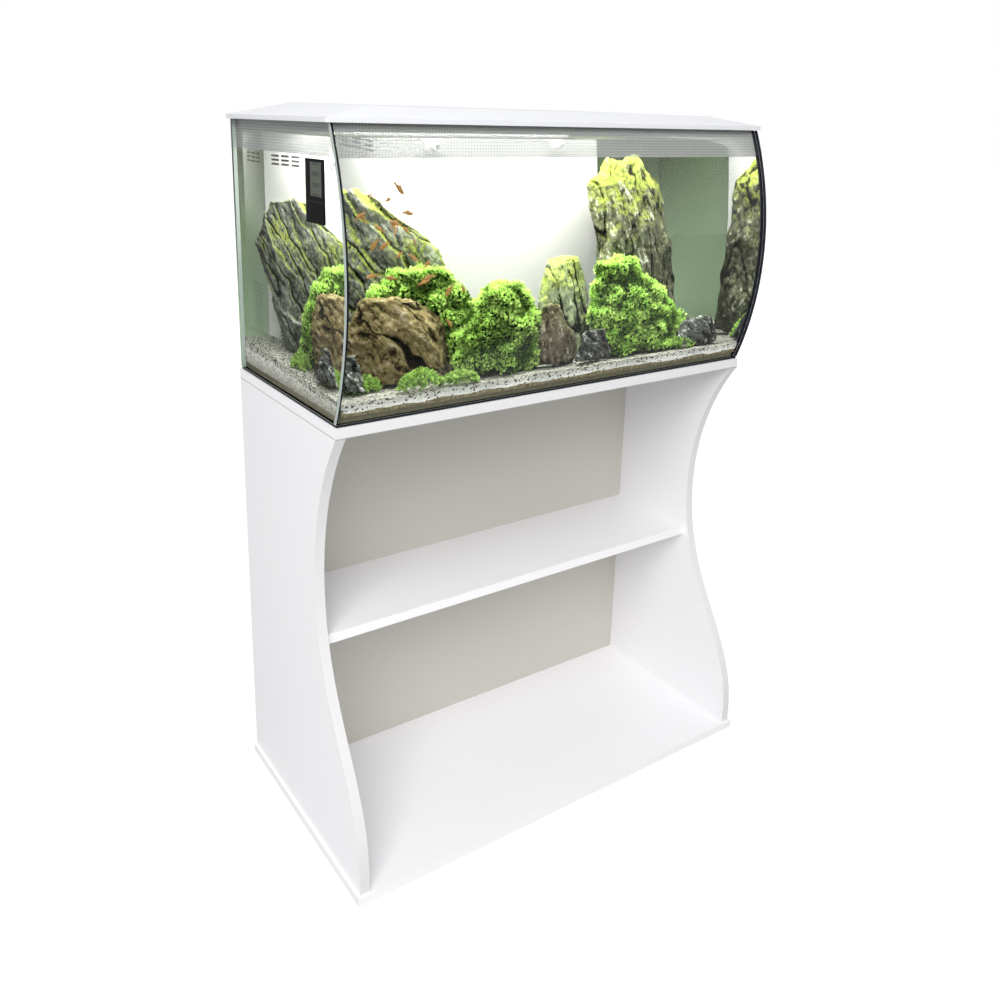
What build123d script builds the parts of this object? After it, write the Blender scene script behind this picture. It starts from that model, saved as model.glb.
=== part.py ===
from build123d import *
import os
from math import atan2, cos, hypot, pi, sin, sqrt

os.makedirs("parts", exist_ok=True)

# Stand: floor is Z 0, the front looks along -Y, sizes in millimetres
stand_width = 820.0
base_depth = 436.0
stand_height = 746.0
board = 16.0
base_reveal = 5.0
top_depth = 374.0
waist_depth = 290.0
waist_height = 475.0
foot_height = 41.0
waist_fullness = 0.5
foot_fullness = 0.385
shelf_height = 382.0
back_inset = 98.0

# Dowels and screws of the stand
dowel_radius = 4.0
dowel_length = 30.0
dowel_bite = 11.0
joint_margin = 45.0
screw_radius = 2.0
screw_length = 45.0
screw_head_radius = 4.5
screw_head_height = 3.0
screw_recess = 0.5

# Tank: five panes bonded with silicone on a foam mat
glass = 6.0
bottom_glass_thickness = 8.0
mat_thickness = 4.0
mat_setback = 1.0
seam = 1.0
tank_inset = 2.0
wall_height = 404.0
front_bow = 41.0
band_height = 44.0
band_thickness = 0.3
band_gap = 0.3
film_gap = 0.5

# Filter housing behind the display, with its media and pump
housing_left_space = 117.0
housing_right_space = 185.0
housing_slant = 40.0
housing_depth = 129.0
housing_wall = 3.0
housing_drop = 12.0
housing_gap = 0.4
overflow_columns = 3
overflow_rows = 3
overflow_length = 24.0
overflow_pitch = 31.0
overflow_depth = 43.5
louvre_rows = 14
louvre_length = 60.0
louvre_pitch = 6.5
louvre_rise = 34.0
slot_height = 3.4
divider_thickness = 3.0
divider_spacing = 140.0
divider_drop = 88.0
seat_gap = 0.3
foam_length = 72.0
foam_width = 108.0
foam_height = 200.0
basket_height = 240.0
basket_wall = 2.0
basket_gap = 1.0
basket_hole_radius = 3.0
basket_hole_pitch = 15.0
handle_rise = 30.0
handle_width = 9.0
carbon_height = 50.0
pack_gap = 4.0
ring_radius = 7.0
ring_bore = 4.0
ring_height = 14.0
ring_pitch = 20.0
ring_columns = 5
ring_rows = 4

# Pump, lying with its shaft along Y
pump_offset = 120.0
pump_length = 60.0
pump_width = 50.0
pump_edge = 4.0
pump_lift = 17.0
pump_foot_radius = 6.0
pump_foot_inset = 10.0
pump_setback = 38.0
volute_radius = 18.0
volute_length = 16.0
cavity_radius = 13.5
cavity_depth = 12.0
rotor_well_radius = 7.0
rotor_well_depth = 30.0
rotor_radius = 6.2
rotor_clear = 1.5
impeller_radius = 12.0
impeller_disc = 1.5
vane_count = 6
vane_thickness = 1.6
shaft_radius = 1.25
shaft_clear = 0.05
shaft_bite = 2.0
pump_cover_thickness = 4.0
inlet_radius = 2.6
inlet_circle = 8.0
inlet_count = 6

# Return pipe and the two ball nozzles
nipple_radius = 5.5
nipple_bore = 4.0
nipple_height = 14.0
pipe_wall = 2.0
pipe_clear = 0.05
nozzle_drop = 46.5
ball_radius = 9.5
ball_clear = 0.08
ball_gap = 0.7
nozzle_bore = 4.2
spout_radius = 5.8
spout_length = 24.0
collar_radius = 13.0
collar_thickness = 8.0

# Hood: a rim frame, a low hipped cover, a feeding flap and the light
hood_side_overhang = 5.0
hood_front_overhang = 1.0
hood_seat_gap = 0.3
rim_height = 6.7
rim_corner = 4.0
rim_side = 25.0
rim_front = 42.0
skirt_gap = 1.7
skirt_wall = 2.5
skirt_depth = 12.0
cover_wall = 3.0
form_skirt = 1.0
side_bevel = 112.0
front_bevel = 49.0
plateau_front_rise = 15.0
plateau_back_rise = 21.0
hood_boss_radius = 4.5
hood_boss_from_side = 160.0
hood_boss_inset = 20.0
hood_boss_front = 32.0
hood_screw_radius = 1.5
hood_screw_head = 3.0
hood_screw_head_height = 1.5
hood_screw_length = 10.0
flap_width = 220.0
flap_depth = 84.0
flap_thickness = 4.0
flap_gap = 0.5
flap_rear_gap = 1.0
flap_rest_gap = 0.3
flap_setback = 14.0
flap_ledge = 8.0
flap_collar = 12.0
flap_collar_depth = 11.0
flap_notch_width = 44.0
flap_notch_depth = 9.0
trunnion_radius = 1.6
trunnion_clear = 0.05
trunnion_length = 5.0
light_end_gap = 6.0
light_width = 60.0
light_height = 14.0
light_wall = 2.0
light_setback = 30.0
light_board_thickness = 1.6
light_board_gap = 2.0
diode_rows = 2
diode_pitch = 24.0
diode_row_pitch = 26.0
diode_size = 5.0
diode_height = 1.4
light_lens_thickness = 2.0
gland_radius = 5.5
gland_flange = 7.5
gland_flange_thickness = 2.0
gland_bore = 3.0
gland_from_side = 130.0
gland_rise = 9.0

# Stick-on thermometer, outside the left pane
meter_width = 58.0
meter_height = 85.0
meter_thickness = 2.5
meter_pad = 0.5
meter_pad_inset = 6.0
meter_corner = 2.0
meter_from_front = 17.8
meter_below_rim = 47.0
window_width = 35.0
window_height = 45.0
window_drop = 4.0
window_shift = 5.0
window_depth = 1.2

# Sand bed, deeper towards the back
sand_front = 22.0
sand_back = 42.0
sand_gap = 0.4

# Stones and moss: sizes, places from a pane, the housing or the middle, and level and share of their sections
slate_length = 272.0
slate_width = 48.0
slate_height = 278.0
slate_past_end = 20.0
slate_from_housing = 38.0
slate_lean_side = 92.0
slate_lean_back = 54.0
slate_turn = 33.0
slate_foot = 0.78
slate_shoulder = (0.74, 1.06)
slate_crown = 0.42
boulder_length = 214.0
boulder_width = 110.0
boulder_height = 150.0
boulder_from_side = 150.0
boulder_from_front = 122.0
boulder_lean_side = 32.0
boulder_lean_back = 8.0
boulder_shoulder = (0.7, 0.88)
boulder_crown = 0.5
corner_rock_length = 60.0
corner_rock_width = 80.0
corner_rock_height = 84.0
corner_rock_from_side = 40.0
corner_rock_from_front = 84.0
centre_rock_length = 130.0
centre_rock_width = 70.0
centre_rock_height = 126.0
centre_rock_from_front = 78.0
centre_rock_lean = 10.0
centre_rock_crown = 0.34
grey_rock_length = 150.0
grey_rock_width = 80.0
grey_rock_height = 184.0
grey_rock_from_middle = 74.0
grey_rock_from_housing = 74.0
grey_rock_lean = 8.0
grey_rock_crown = 0.5
monolith_length = 254.0
monolith_width = 92.0
monolith_height = 326.0
monolith_from_side = 148.0
monolith_from_housing = 86.0
monolith_lean_side = 50.0
monolith_lean_back = 40.0
monolith_turn = 16.0
monolith_shoulder = (0.88, 0.88)
monolith_crown = 0.36
low_rock_length = 90.0
low_rock_width = 46.0
low_rock_height = 82.0
low_rock_from_middle = 66.0
low_rock_from_front = 36.0
flat_rock_length = 140.0
flat_rock_width = 70.0
flat_rock_height = 78.0
flat_rock_from_side = 80.0
flat_rock_from_front = 56.0
low_crown = 0.5
left_moss_length = 260.0
left_moss_width = 96.0
left_moss_height = 178.0
left_moss_from_side = 180.0
left_moss_from_front = 162.0
left_moss_turn = 12.0
centre_moss_length = 176.0
centre_moss_width = 120.0
centre_moss_height = 162.0
centre_moss_from_middle = 95.0
centre_moss_from_front = 90.0
right_moss_length = 300.0
right_moss_width = 124.0
right_moss_height = 178.0
right_moss_from_side = 156.0
right_moss_from_front = 92.0
right_moss_lean_side = 100.0
right_moss_lean_back = 24.0
right_moss_shoulder = (0.5, 0.72)
right_moss_crown = 0.3
moss_shoulder = (0.62, 0.92)
moss_crown = 0.4
moss_sides = 12
moss_ripple = 0.04

# Places that the pieces share
back_y = base_depth / 2
front_y = -base_depth / 2
panel_x = stand_width / 2 - base_reveal
panel_top = stand_height - board
inner_x = panel_x - board
panel_centre_x = panel_x - board / 2
foot_y = front_y + base_reveal
top_front_y = back_y - top_depth
waist_y = back_y - waist_depth
back_panel_y = back_y - back_inset
shelf_centre_z = shelf_height - board / 2

tank_half = panel_x - tank_inset
tank_back_y = back_y - tank_inset
tank_front_y = top_front_y + tank_inset
mat_top = stand_height + mat_thickness
tank_top = mat_top + wall_height
floor_z = mat_top + bottom_glass_thickness
inside_x = tank_half - glass
inside_back_y = tank_back_y - glass
bow_radius = (wall_height**2 / 4 + front_bow**2) / (2 * front_bow)
bow_centre_y = tank_front_y - front_bow + bow_radius
bow_centre_z = mat_top + wall_height / 2


def bow_y(height, inset):
    """Y of the bowed front at a height, an inset in from its outer face."""
    return bow_centre_y - sqrt((bow_radius - inset) ** 2 - (height - bow_centre_z) ** 2)


def bowed_strip(outer, inner, low, high):
    """Edges of a strip that follows the bowed front between two insets and two heights."""
    middle = (low + high) / 2
    with BuildLine() as strip:
        ThreePointArc((bow_y(low, outer), low), (bow_y(middle, outer), middle), (bow_y(high, outer), high))
        Line((bow_y(high, outer), high), (bow_y(high, inner), high))
        ThreePointArc((bow_y(high, inner), high), (bow_y(middle, inner), middle), (bow_y(low, inner), low))
        Line((bow_y(low, inner), low), (bow_y(low, outer), low))
    return strip.edges()


def spread(first, last, count):
    """Evenly spaced places from the first to the last."""
    return [first + (last - first) * step / (count - 1) for step in range(count)]


# Rows of fixings in the side panels, and how a round piece stands on its place
panel_rows = (-panel_centre_x, panel_centre_x)
cross_rows = (-inner_x - dowel_bite + dowel_length / 2, inner_x + dowel_bite - dowel_length / 2)
on_low_end = (Align.CENTER, Align.CENTER, Align.MIN)
on_high_end = (Align.CENTER, Align.CENTER, Align.MAX)

# Dowels that join the side panels to the base, the top plate and the back panel
base_dowel_y = spread(foot_y + joint_margin, back_y - joint_margin, 3)
top_dowel_y = spread(top_front_y + joint_margin, back_y - joint_margin, 3)
back_dowel_z = spread(board + 3 * joint_margin, panel_top - 3 * joint_margin, 2)
with BuildPart() as panel_dowels:
    with Locations(*[(x, y, board - dowel_bite) for x in panel_rows for y in base_dowel_y]):
        Cylinder(dowel_radius, dowel_length, align=on_low_end)
    with Locations(*[(x, y, panel_top + dowel_bite) for x in panel_rows for y in top_dowel_y]):
        Cylinder(dowel_radius, dowel_length, align=on_high_end)
    with Locations(*[(x, back_panel_y + board / 2, z) for x in cross_rows for z in back_dowel_z]):
        Cylinder(dowel_radius, dowel_length, rotation=(0, 90, 0))
panel_dowels.part.label = "panel_dowels"
export_step(panel_dowels.part, "parts/panel_dowels.step")

# Dowels under the ends of the shelf
shelf_dowel_y = spread(waist_y + joint_margin, back_panel_y - joint_margin, 2)
with BuildPart() as shelf_dowels:
    with Locations(*[(x, y, shelf_centre_z) for x in cross_rows for y in shelf_dowel_y]):
        Cylinder(dowel_radius, dowel_length, rotation=(0, 90, 0))
shelf_dowels.part.label = "shelf_dowels"
export_step(shelf_dowels.part, "parts/shelf_dowels.step")

# Countersunk screws, up through the base plate between its dowels
base_screw_y = [(a + b) / 2 for a, b in zip(base_dowel_y, base_dowel_y[1:])]
with BuildPart() as base_screws:
    with Locations(*[(x, y, screw_recess) for x in panel_rows for y in base_screw_y]):
        Cone(screw_head_radius, screw_radius, screw_head_height, align=on_low_end)
        Cylinder(screw_radius, screw_length, align=on_low_end)
base_screws.part.label = "base_screws"
export_step(base_screws.part, "parts/base_screws.step")

# Countersunk screws, down through the top plate between its dowels
top_screw_y = [(a + b) / 2 for a, b in zip(top_dowel_y, top_dowel_y[1:])]
top_screw_z = stand_height - screw_recess
with BuildPart() as top_screws:
    with Locations(*[(x, y, top_screw_z) for x in panel_rows for y in top_screw_y]):
        Cone(screw_radius, screw_head_radius, screw_head_height, align=on_high_end)
        Cylinder(screw_radius, screw_length, align=on_high_end)
top_screws.part.label = "top_screws"
export_step(top_screws.part, "parts/top_screws.step")

# Base plate on the floor
with BuildPart() as base_plate:
    Box(stand_width, base_depth, board, align=on_low_end)
    add(panel_dowels.part, mode=Mode.SUBTRACT)
    add(base_screws.part, mode=Mode.SUBTRACT)
    with Locations(*[(x, y, 0) for x in panel_rows for y in base_screw_y]):
        Cylinder(screw_head_radius, screw_recess, align=on_low_end, mode=Mode.SUBTRACT)
base_plate.part.label = "base_plate"
export_step(base_plate.part, "parts/base_plate.step")


def side_panel(outer_x, direction):
    """One S-fronted side panel, from its outer face inwards."""
    foot_drop = waist_height - foot_height
    with BuildPart() as panel:
        with BuildSketch(Plane.YZ.offset(outer_x)):
            with BuildLine():
                TangentArc((waist_y, waist_height), (top_front_y, panel_top), tangent=(0, 1))
                Bezier(
                    (waist_y, waist_height),
                    (waist_y, waist_height - waist_fullness * foot_drop),
                    (foot_y, foot_height + foot_fullness * foot_drop),
                    (foot_y, foot_height),
                )
                Line((foot_y, foot_height), (foot_y, board))
                Line((foot_y, board), (back_y, board))
                Line((back_y, board), (back_y, panel_top))
                Line((back_y, panel_top), (top_front_y, panel_top))
            make_face()
        extrude(amount=direction * board)
        for fixing in (panel_dowels, shelf_dowels, base_screws, top_screws):
            add(fixing.part, mode=Mode.SUBTRACT)
    return panel.part


# Side panels, a mirrored pair
left_side_panel = side_panel(-panel_x, 1)
left_side_panel.label = "left_side_panel"
export_step(left_side_panel, "parts/left_side_panel.step")
right_side_panel = side_panel(panel_x, -1)
right_side_panel.label = "right_side_panel"
export_step(right_side_panel, "parts/right_side_panel.step")

# Top plate that carries the tank
with BuildPart() as top_plate:
    with BuildSketch(Plane.XY.offset(panel_top)):
        with Locations((0, (top_front_y + back_y) / 2)):
            Rectangle(2 * panel_x, top_depth)
    extrude(amount=board)
    add(panel_dowels.part, mode=Mode.SUBTRACT)
    add(top_screws.part, mode=Mode.SUBTRACT)
    with Locations(*[(x, y, stand_height) for x in panel_rows for y in top_screw_y]):
        Cylinder(screw_head_radius, screw_recess, align=on_high_end, mode=Mode.SUBTRACT)
top_plate.part.label = "top_plate"
export_step(top_plate.part, "parts/top_plate.step")

# Back panel, set in from the rear edges of the side panels
with BuildPart() as back_panel:
    with BuildSketch(Plane.XY.offset(board)):
        with Locations((0, back_panel_y + board / 2)):
            Rectangle(2 * inner_x, board)
    extrude(amount=panel_top - board)
    add(panel_dowels.part, mode=Mode.SUBTRACT)
back_panel.part.label = "back_panel"
export_step(back_panel.part, "parts/back_panel.step")

# Shelf between the side panels, level with their waist
with BuildPart() as shelf:
    with BuildSketch(Plane.XY.offset(shelf_height - board)):
        with Locations((0, (waist_y + back_panel_y) / 2)):
            Rectangle(2 * inner_x, back_panel_y - waist_y)
    extrude(amount=board)
    add(shelf_dowels.part, mode=Mode.SUBTRACT)
shelf.part.label = "shelf"
export_step(shelf.part, "parts/shelf.step")

# Foam mat under the tank
with BuildPart() as base_mat:
    with BuildSketch(Plane.XY.offset(stand_height)):
        with Locations((0, (tank_front_y + tank_back_y) / 2)):
            Rectangle(2 * (tank_half - mat_setback), tank_back_y - tank_front_y - 2 * mat_setback)
    extrude(amount=mat_thickness)
base_mat.part.label = "base_mat"
export_step(base_mat.part, "parts/base_mat.step")

# Bowed front pane, over the ends of the side panes
with BuildPart() as front_glass:
    with BuildSketch(Plane.YZ.offset(-tank_half)):
        make_face(bowed_strip(0, glass, mat_top, tank_top))
    extrude(amount=2 * tank_half)
front_glass.part.label = "front_glass"
export_step(front_glass.part, "parts/front_glass.step")

# Back pane, over the rear ends of the side panes
with BuildPart() as back_glass:
    with BuildSketch(Plane.XZ.offset(-tank_back_y)):
        with Locations((0, (mat_top + tank_top) / 2)):
            Rectangle(2 * tank_half, wall_height)
    extrude(amount=glass)
back_glass.part.label = "back_glass"
export_step(back_glass.part, "parts/back_glass.step")


def side_pane(outer_x, direction):
    """One side pane, its front edge following the bow behind the front pane."""
    inset = glass + seam
    rear_y = inside_back_y - seam
    with BuildPart() as pane:
        with BuildSketch(Plane.YZ.offset(outer_x)):
            with BuildLine():
                ThreePointArc(
                    (bow_y(mat_top, inset), mat_top),
                    (bow_y(bow_centre_z, inset), bow_centre_z),
                    (bow_y(tank_top, inset), tank_top),
                )
                Line((bow_y(tank_top, inset), tank_top), (rear_y, tank_top))
                Line((rear_y, tank_top), (rear_y, mat_top))
                Line((rear_y, mat_top), (bow_y(mat_top, inset), mat_top))
            make_face()
        extrude(amount=direction * glass)
    return pane.part


# Side panes, a mirrored pair
left_glass = side_pane(-tank_half, 1)
left_glass.label = "left_glass"
export_step(left_glass, "parts/left_glass.step")
right_glass = side_pane(tank_half, -1)
right_glass.label = "right_glass"
export_step(right_glass, "parts/right_glass.step")

# Bottom pane, inside the four walls
bottom_front_y = bow_y(mat_top, glass) + seam
bottom_back_y = inside_back_y - seam
with BuildPart() as bottom_glass:
    with BuildSketch(Plane.XY.offset(mat_top)):
        with Locations((0, (bottom_front_y + bottom_back_y) / 2)):
            Rectangle(2 * (inside_x - seam), bottom_back_y - bottom_front_y)
    extrude(amount=bottom_glass_thickness)
bottom_glass.part.label = "bottom_glass"
export_step(bottom_glass.part, "parts/bottom_glass.step")

# Silicone round the edge of the bottom pane
with BuildPart() as bottom_seam:
    with BuildSketch(Plane.XY.offset(mat_top)):
        with Locations((0, (bottom_front_y + bottom_back_y) / 2)):
            Rectangle(2 * inside_x, bottom_back_y - bottom_front_y + 2 * seam)
            Rectangle(2 * (inside_x - seam), bottom_back_y - bottom_front_y, mode=Mode.SUBTRACT)
    extrude(amount=bottom_glass_thickness)
bottom_seam.part.label = "bottom_seam"
export_step(bottom_seam.part, "parts/bottom_seam.step")

# Silicone in the four upright corners
with BuildPart() as corner_seams:
    with BuildSketch(Plane.YZ.offset(-tank_half), Plane.YZ.offset(inside_x)):
        make_face(bowed_strip(glass, glass + seam, mat_top, tank_top))
        with Locations((inside_back_y - seam / 2, (mat_top + tank_top) / 2)):
            Rectangle(seam, wall_height)
    extrude(amount=glass)
corner_seams.part.label = "corner_seams"
export_step(corner_seams.part, "parts/corner_seams.step")

# Dotted band film inside the top of the front and side panes
band_low = tank_top - band_height
film_back = glass + band_gap + band_thickness
film_inset = film_back + film_gap
film_half = inside_x - band_gap
with BuildPart() as dot_band:
    with BuildSketch(Plane.YZ.offset(-film_half + band_thickness + film_gap)):
        make_face(bowed_strip(glass + band_gap, film_back, band_low, tank_top))
    extrude(amount=2 * (film_half - band_thickness - film_gap))
    with BuildSketch(Plane.YZ.offset(-film_half), Plane.YZ.offset(film_half - band_thickness)):
        with BuildLine():
            Line((bow_y(band_low, film_inset), band_low), (bow_y(tank_top, film_inset), tank_top))
            Line((bow_y(tank_top, film_inset), tank_top), (inside_back_y - seam, tank_top))
            Line((inside_back_y - seam, tank_top), (inside_back_y - seam, band_low))
            Line((inside_back_y - seam, band_low), (bow_y(band_low, film_inset), band_low))
        make_face()
    extrude(amount=band_thickness)
dot_band.part.label = "dot_band"
export_step(dot_band.part, "parts/dot_band.step")

# Filter housing: a four-sided shell nearer the left pane, wider at the back, slots in its slanting ends
housing_x = (housing_left_space - housing_right_space) / 2
housing_back_width = 2 * inside_x - housing_left_space - housing_right_space
housing_front_width = housing_back_width - 2 * housing_slant
housing_back_y = inside_back_y - housing_gap
housing_front_y = housing_back_y - housing_depth
housing_top = tank_top - housing_drop
housing_plan = [
    (housing_x - housing_back_width / 2, housing_back_y),
    (housing_x - housing_front_width / 2, housing_front_y),
    (housing_x + housing_front_width / 2, housing_front_y),
    (housing_x + housing_back_width / 2, housing_back_y),
]
end_length = hypot(housing_slant, housing_depth)
end_x = housing_x + (housing_back_width - housing_slant) / 2
end_plane = Plane(
    origin=(end_x, (housing_back_y + housing_front_y) / 2, 0),
    x_dir=(housing_slant / end_length, housing_depth / end_length, 0),
    z_dir=(housing_depth / end_length, -housing_slant / end_length, 0),
)
overflow_z = housing_top - overflow_depth - (overflow_rows - 1) * louvre_pitch / 2
louvre_z = floor_z + louvre_rise + (louvre_rows - 1) * louvre_pitch / 2
with BuildPart() as end_slots:
    with BuildSketch(end_plane):
        with Locations((0, overflow_z)):
            with GridLocations(overflow_pitch, louvre_pitch, overflow_columns, overflow_rows):
                SlotOverall(overflow_length, slot_height)
        with Locations((0, louvre_z)):
            with GridLocations(louvre_length, louvre_pitch, 1, louvre_rows):
                SlotOverall(louvre_length, slot_height)
    extrude(amount=2 * housing_wall, both=True)
    mirror(about=Plane.YZ.offset(housing_x))
nozzle_z = housing_top - nozzle_drop
nozzle_y = housing_front_y + housing_wall / 2
pump_x = housing_x + pump_offset
left_outlet_x = housing_x - pump_offset
with BuildPart() as filter_housing:
    with BuildSketch(Plane.XY.offset(floor_z)):
        with BuildLine():
            Polyline(*housing_plan, close=True)
        make_face()
        offset(amount=-housing_wall, kind=Kind.INTERSECTION, mode=Mode.SUBTRACT)
    extrude(amount=housing_top - floor_z)
    add(end_slots.part, mode=Mode.SUBTRACT)
    with Locations((left_outlet_x, nozzle_y, nozzle_z), (pump_x, nozzle_y, nozzle_z)):
        Cylinder(collar_radius, 4 * housing_wall, rotation=(90, 0, 0), mode=Mode.SUBTRACT)
filter_housing.part.label = "filter_housing"
export_step(filter_housing.part, "parts/filter_housing.step")

# Two dividers that make the intake, media and pump chambers
chamber_front_y = housing_front_y + housing_wall
chamber_back_y = housing_back_y - housing_wall
with BuildPart() as chamber_dividers:
    with BuildSketch(Plane.XY.offset(floor_z)):
        with Locations((housing_x, (chamber_front_y + chamber_back_y) / 2)):
            with GridLocations(divider_spacing, 0, 2, 1):
                Rectangle(divider_thickness, chamber_back_y - chamber_front_y)
    extrude(amount=housing_top - divider_drop - floor_z)
chamber_dividers.part.label = "chamber_dividers"
export_step(chamber_dividers.part, "parts/chamber_dividers.step")

# Foam block beside the left divider
foam_x = housing_x - (divider_spacing + divider_thickness) / 2 - seat_gap - foam_length / 2
with BuildPart() as intake_foam:
    with BuildSketch(Plane.XY.offset(floor_z + seat_gap)):
        with Locations((foam_x, (chamber_front_y + chamber_back_y) / 2)):
            Rectangle(foam_length, foam_width)
    extrude(amount=foam_height)
intake_foam.part.label = "intake_foam"
export_step(intake_foam.part, "parts/intake_foam.step")

# Media basket in the middle chamber, with a perforated floor and a lifting handle
basket_length = divider_spacing - divider_thickness - 2 * basket_gap
basket_width = chamber_back_y - chamber_front_y - 2 * basket_gap
basket_y = (chamber_front_y + chamber_back_y) / 2
basket_z = floor_z + seat_gap
hole_columns = int((basket_length - 2 * basket_hole_pitch) // basket_hole_pitch) + 1
hole_rows = int((basket_width - 2 * basket_hole_pitch) // basket_hole_pitch) + 1
handle_x = basket_length / 2 - basket_wall / 2
with BuildPart() as media_basket:
    with BuildSketch(Plane.XY.offset(basket_z)):
        with Locations((housing_x, basket_y)):
            Rectangle(basket_length, basket_width)
    extrude(amount=basket_height)
    with BuildSketch(Plane.XY.offset(basket_z + basket_wall)):
        with Locations((housing_x, basket_y)):
            Rectangle(basket_length - 2 * basket_wall, basket_width - 2 * basket_wall)
    extrude(amount=basket_height, mode=Mode.SUBTRACT)
    with BuildSketch(Plane.XY.offset(basket_z)):
        with Locations((housing_x, basket_y)):
            with GridLocations(basket_hole_pitch, basket_hole_pitch, hole_columns, hole_rows):
                Circle(basket_hole_radius)
    extrude(amount=basket_wall, mode=Mode.SUBTRACT)
    with Locations((housing_x, basket_y, basket_z + basket_height)):
        with GridLocations(2 * handle_x, 0, 2, 1):
            Box(basket_wall, handle_width, handle_rise, align=on_low_end)
    with Locations((housing_x, basket_y, basket_z + basket_height + handle_rise)):
        Box(basket_length, handle_width, basket_wall, align=on_high_end)
media_basket.part.label = "media_basket"
export_step(media_basket.part, "parts/media_basket.step")

# Carbon pack on the floor of the basket
pack_z = basket_z + basket_wall
with BuildPart() as carbon_pack:
    with BuildSketch(Plane.XY.offset(pack_z)):
        with Locations((housing_x, basket_y)):
            Rectangle(
                basket_length - 2 * basket_wall - 2 * pack_gap,
                basket_width - 2 * basket_wall - 2 * pack_gap,
            )
    extrude(amount=carbon_height)
carbon_pack.part.label = "carbon_pack"
export_step(carbon_pack.part, "parts/carbon_pack.step")

# Ceramic rings standing on the carbon pack
with BuildPart() as ceramic_rings:
    with BuildSketch(Plane.XY.offset(pack_z + carbon_height)):
        with Locations((housing_x, basket_y)):
            with GridLocations(ring_pitch, ring_pitch, ring_columns, ring_rows):
                Circle(ring_radius)
                Circle(ring_bore, mode=Mode.SUBTRACT)
    extrude(amount=ring_height)
ceramic_rings.part.label = "ceramic_rings"
export_step(ceramic_rings.part, "parts/ceramic_rings.step")

# Pump body: motor block, round volute in front and an outlet nipple on top
pump_front_y = chamber_front_y + pump_setback
pump_z = floor_z + seat_gap + pump_lift + pump_width / 2
volute_front_y = pump_front_y - volute_length
nipple_y = volute_front_y + cavity_depth / 2
volute_face = Plane(origin=(pump_x, volute_front_y, pump_z), x_dir=(1, 0, 0), z_dir=(0, -1, 0))
nipple_base = Plane.XY.offset(pump_z).move(Location((pump_x, nipple_y, 0)))
nipple_length = volute_radius + nipple_height
with BuildPart() as pump_body:
    with Locations((pump_x, pump_front_y + pump_length / 2, pump_z)):
        Box(pump_width, pump_length, pump_width)
    fillet(pump_body.edges().filter_by(Axis.Y), pump_edge)
    with BuildSketch(volute_face):
        Circle(volute_radius)
    extrude(amount=-volute_length)
    with BuildSketch(nipple_base):
        Circle(nipple_radius)
    extrude(amount=nipple_length)
    with BuildSketch(nipple_base):
        Circle(nipple_bore)
    extrude(amount=nipple_length, mode=Mode.SUBTRACT)
    with BuildSketch(volute_face):
        Circle(cavity_radius)
    extrude(amount=-cavity_depth, mode=Mode.SUBTRACT)
    with BuildSketch(volute_face):
        Circle(rotor_well_radius)
    extrude(amount=-cavity_depth - rotor_well_depth, mode=Mode.SUBTRACT)
    with BuildSketch(volute_face):
        Circle(shaft_radius)
    extrude(amount=-cavity_depth - rotor_well_depth - shaft_bite, mode=Mode.SUBTRACT)
pump_body.part.label = "pump_body"
export_step(pump_body.part, "parts/pump_body.step")

# Pump cover with its ring of inlet holes
with BuildPart() as pump_cover:
    with BuildSketch(volute_face):
        Circle(volute_radius)
        with PolarLocations(inlet_circle, inlet_count):
            Circle(inlet_radius, mode=Mode.SUBTRACT)
    extrude(amount=pump_cover_thickness)
    with BuildSketch(volute_face):
        Circle(shaft_radius)
    extrude(amount=shaft_bite, mode=Mode.SUBTRACT)
pump_cover.part.label = "pump_cover"
export_step(pump_cover.part, "parts/pump_cover.step")

# Fixed ceramic shaft between the rotor well and the cover
with BuildPart() as impeller_shaft:
    with BuildSketch(volute_face.offset(shaft_bite)):
        Circle(shaft_radius)
    extrude(amount=-cavity_depth - rotor_well_depth - 2 * shaft_bite)
impeller_shaft.part.label = "impeller_shaft"
export_step(impeller_shaft.part, "parts/impeller_shaft.step")

# Impeller: magnet rotor, disc and straight vanes, free to turn on the shaft
vane_length = impeller_radius - shaft_radius
vane_depth = cavity_depth - 2 * rotor_clear - impeller_disc
with BuildPart() as impeller:
    with BuildSketch(volute_face.offset(-rotor_clear)):
        with PolarLocations(vane_length / 2 + shaft_radius, vane_count):
            Rectangle(vane_length, vane_thickness)
        Circle(rotor_radius / 2)
    extrude(amount=-vane_depth)
    with BuildSketch(volute_face.offset(-rotor_clear - vane_depth)):
        Circle(impeller_radius)
    extrude(amount=-impeller_disc)
    with BuildSketch(volute_face.offset(-rotor_clear - vane_depth - impeller_disc)):
        Circle(rotor_radius)
    extrude(amount=-rotor_well_depth)
    with BuildSketch(volute_face):
        Circle(shaft_radius + shaft_clear)
    extrude(amount=-cavity_depth - rotor_well_depth, mode=Mode.SUBTRACT)
impeller.part.label = "impeller"
export_step(impeller.part, "parts/impeller.step")

# Rubber feet under the pump
with BuildPart() as pump_feet:
    with BuildSketch(Plane.XY.offset(floor_z + seat_gap)):
        with Locations((pump_x, pump_front_y + pump_length / 2)):
            with GridLocations(pump_width - 2 * pump_foot_inset, pump_length - 2 * pump_foot_inset, 2, 2):
                Circle(pump_foot_radius)
    extrude(amount=pump_lift)
pump_feet.part.label = "pump_feet"
export_step(pump_feet.part, "parts/pump_feet.step")

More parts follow.
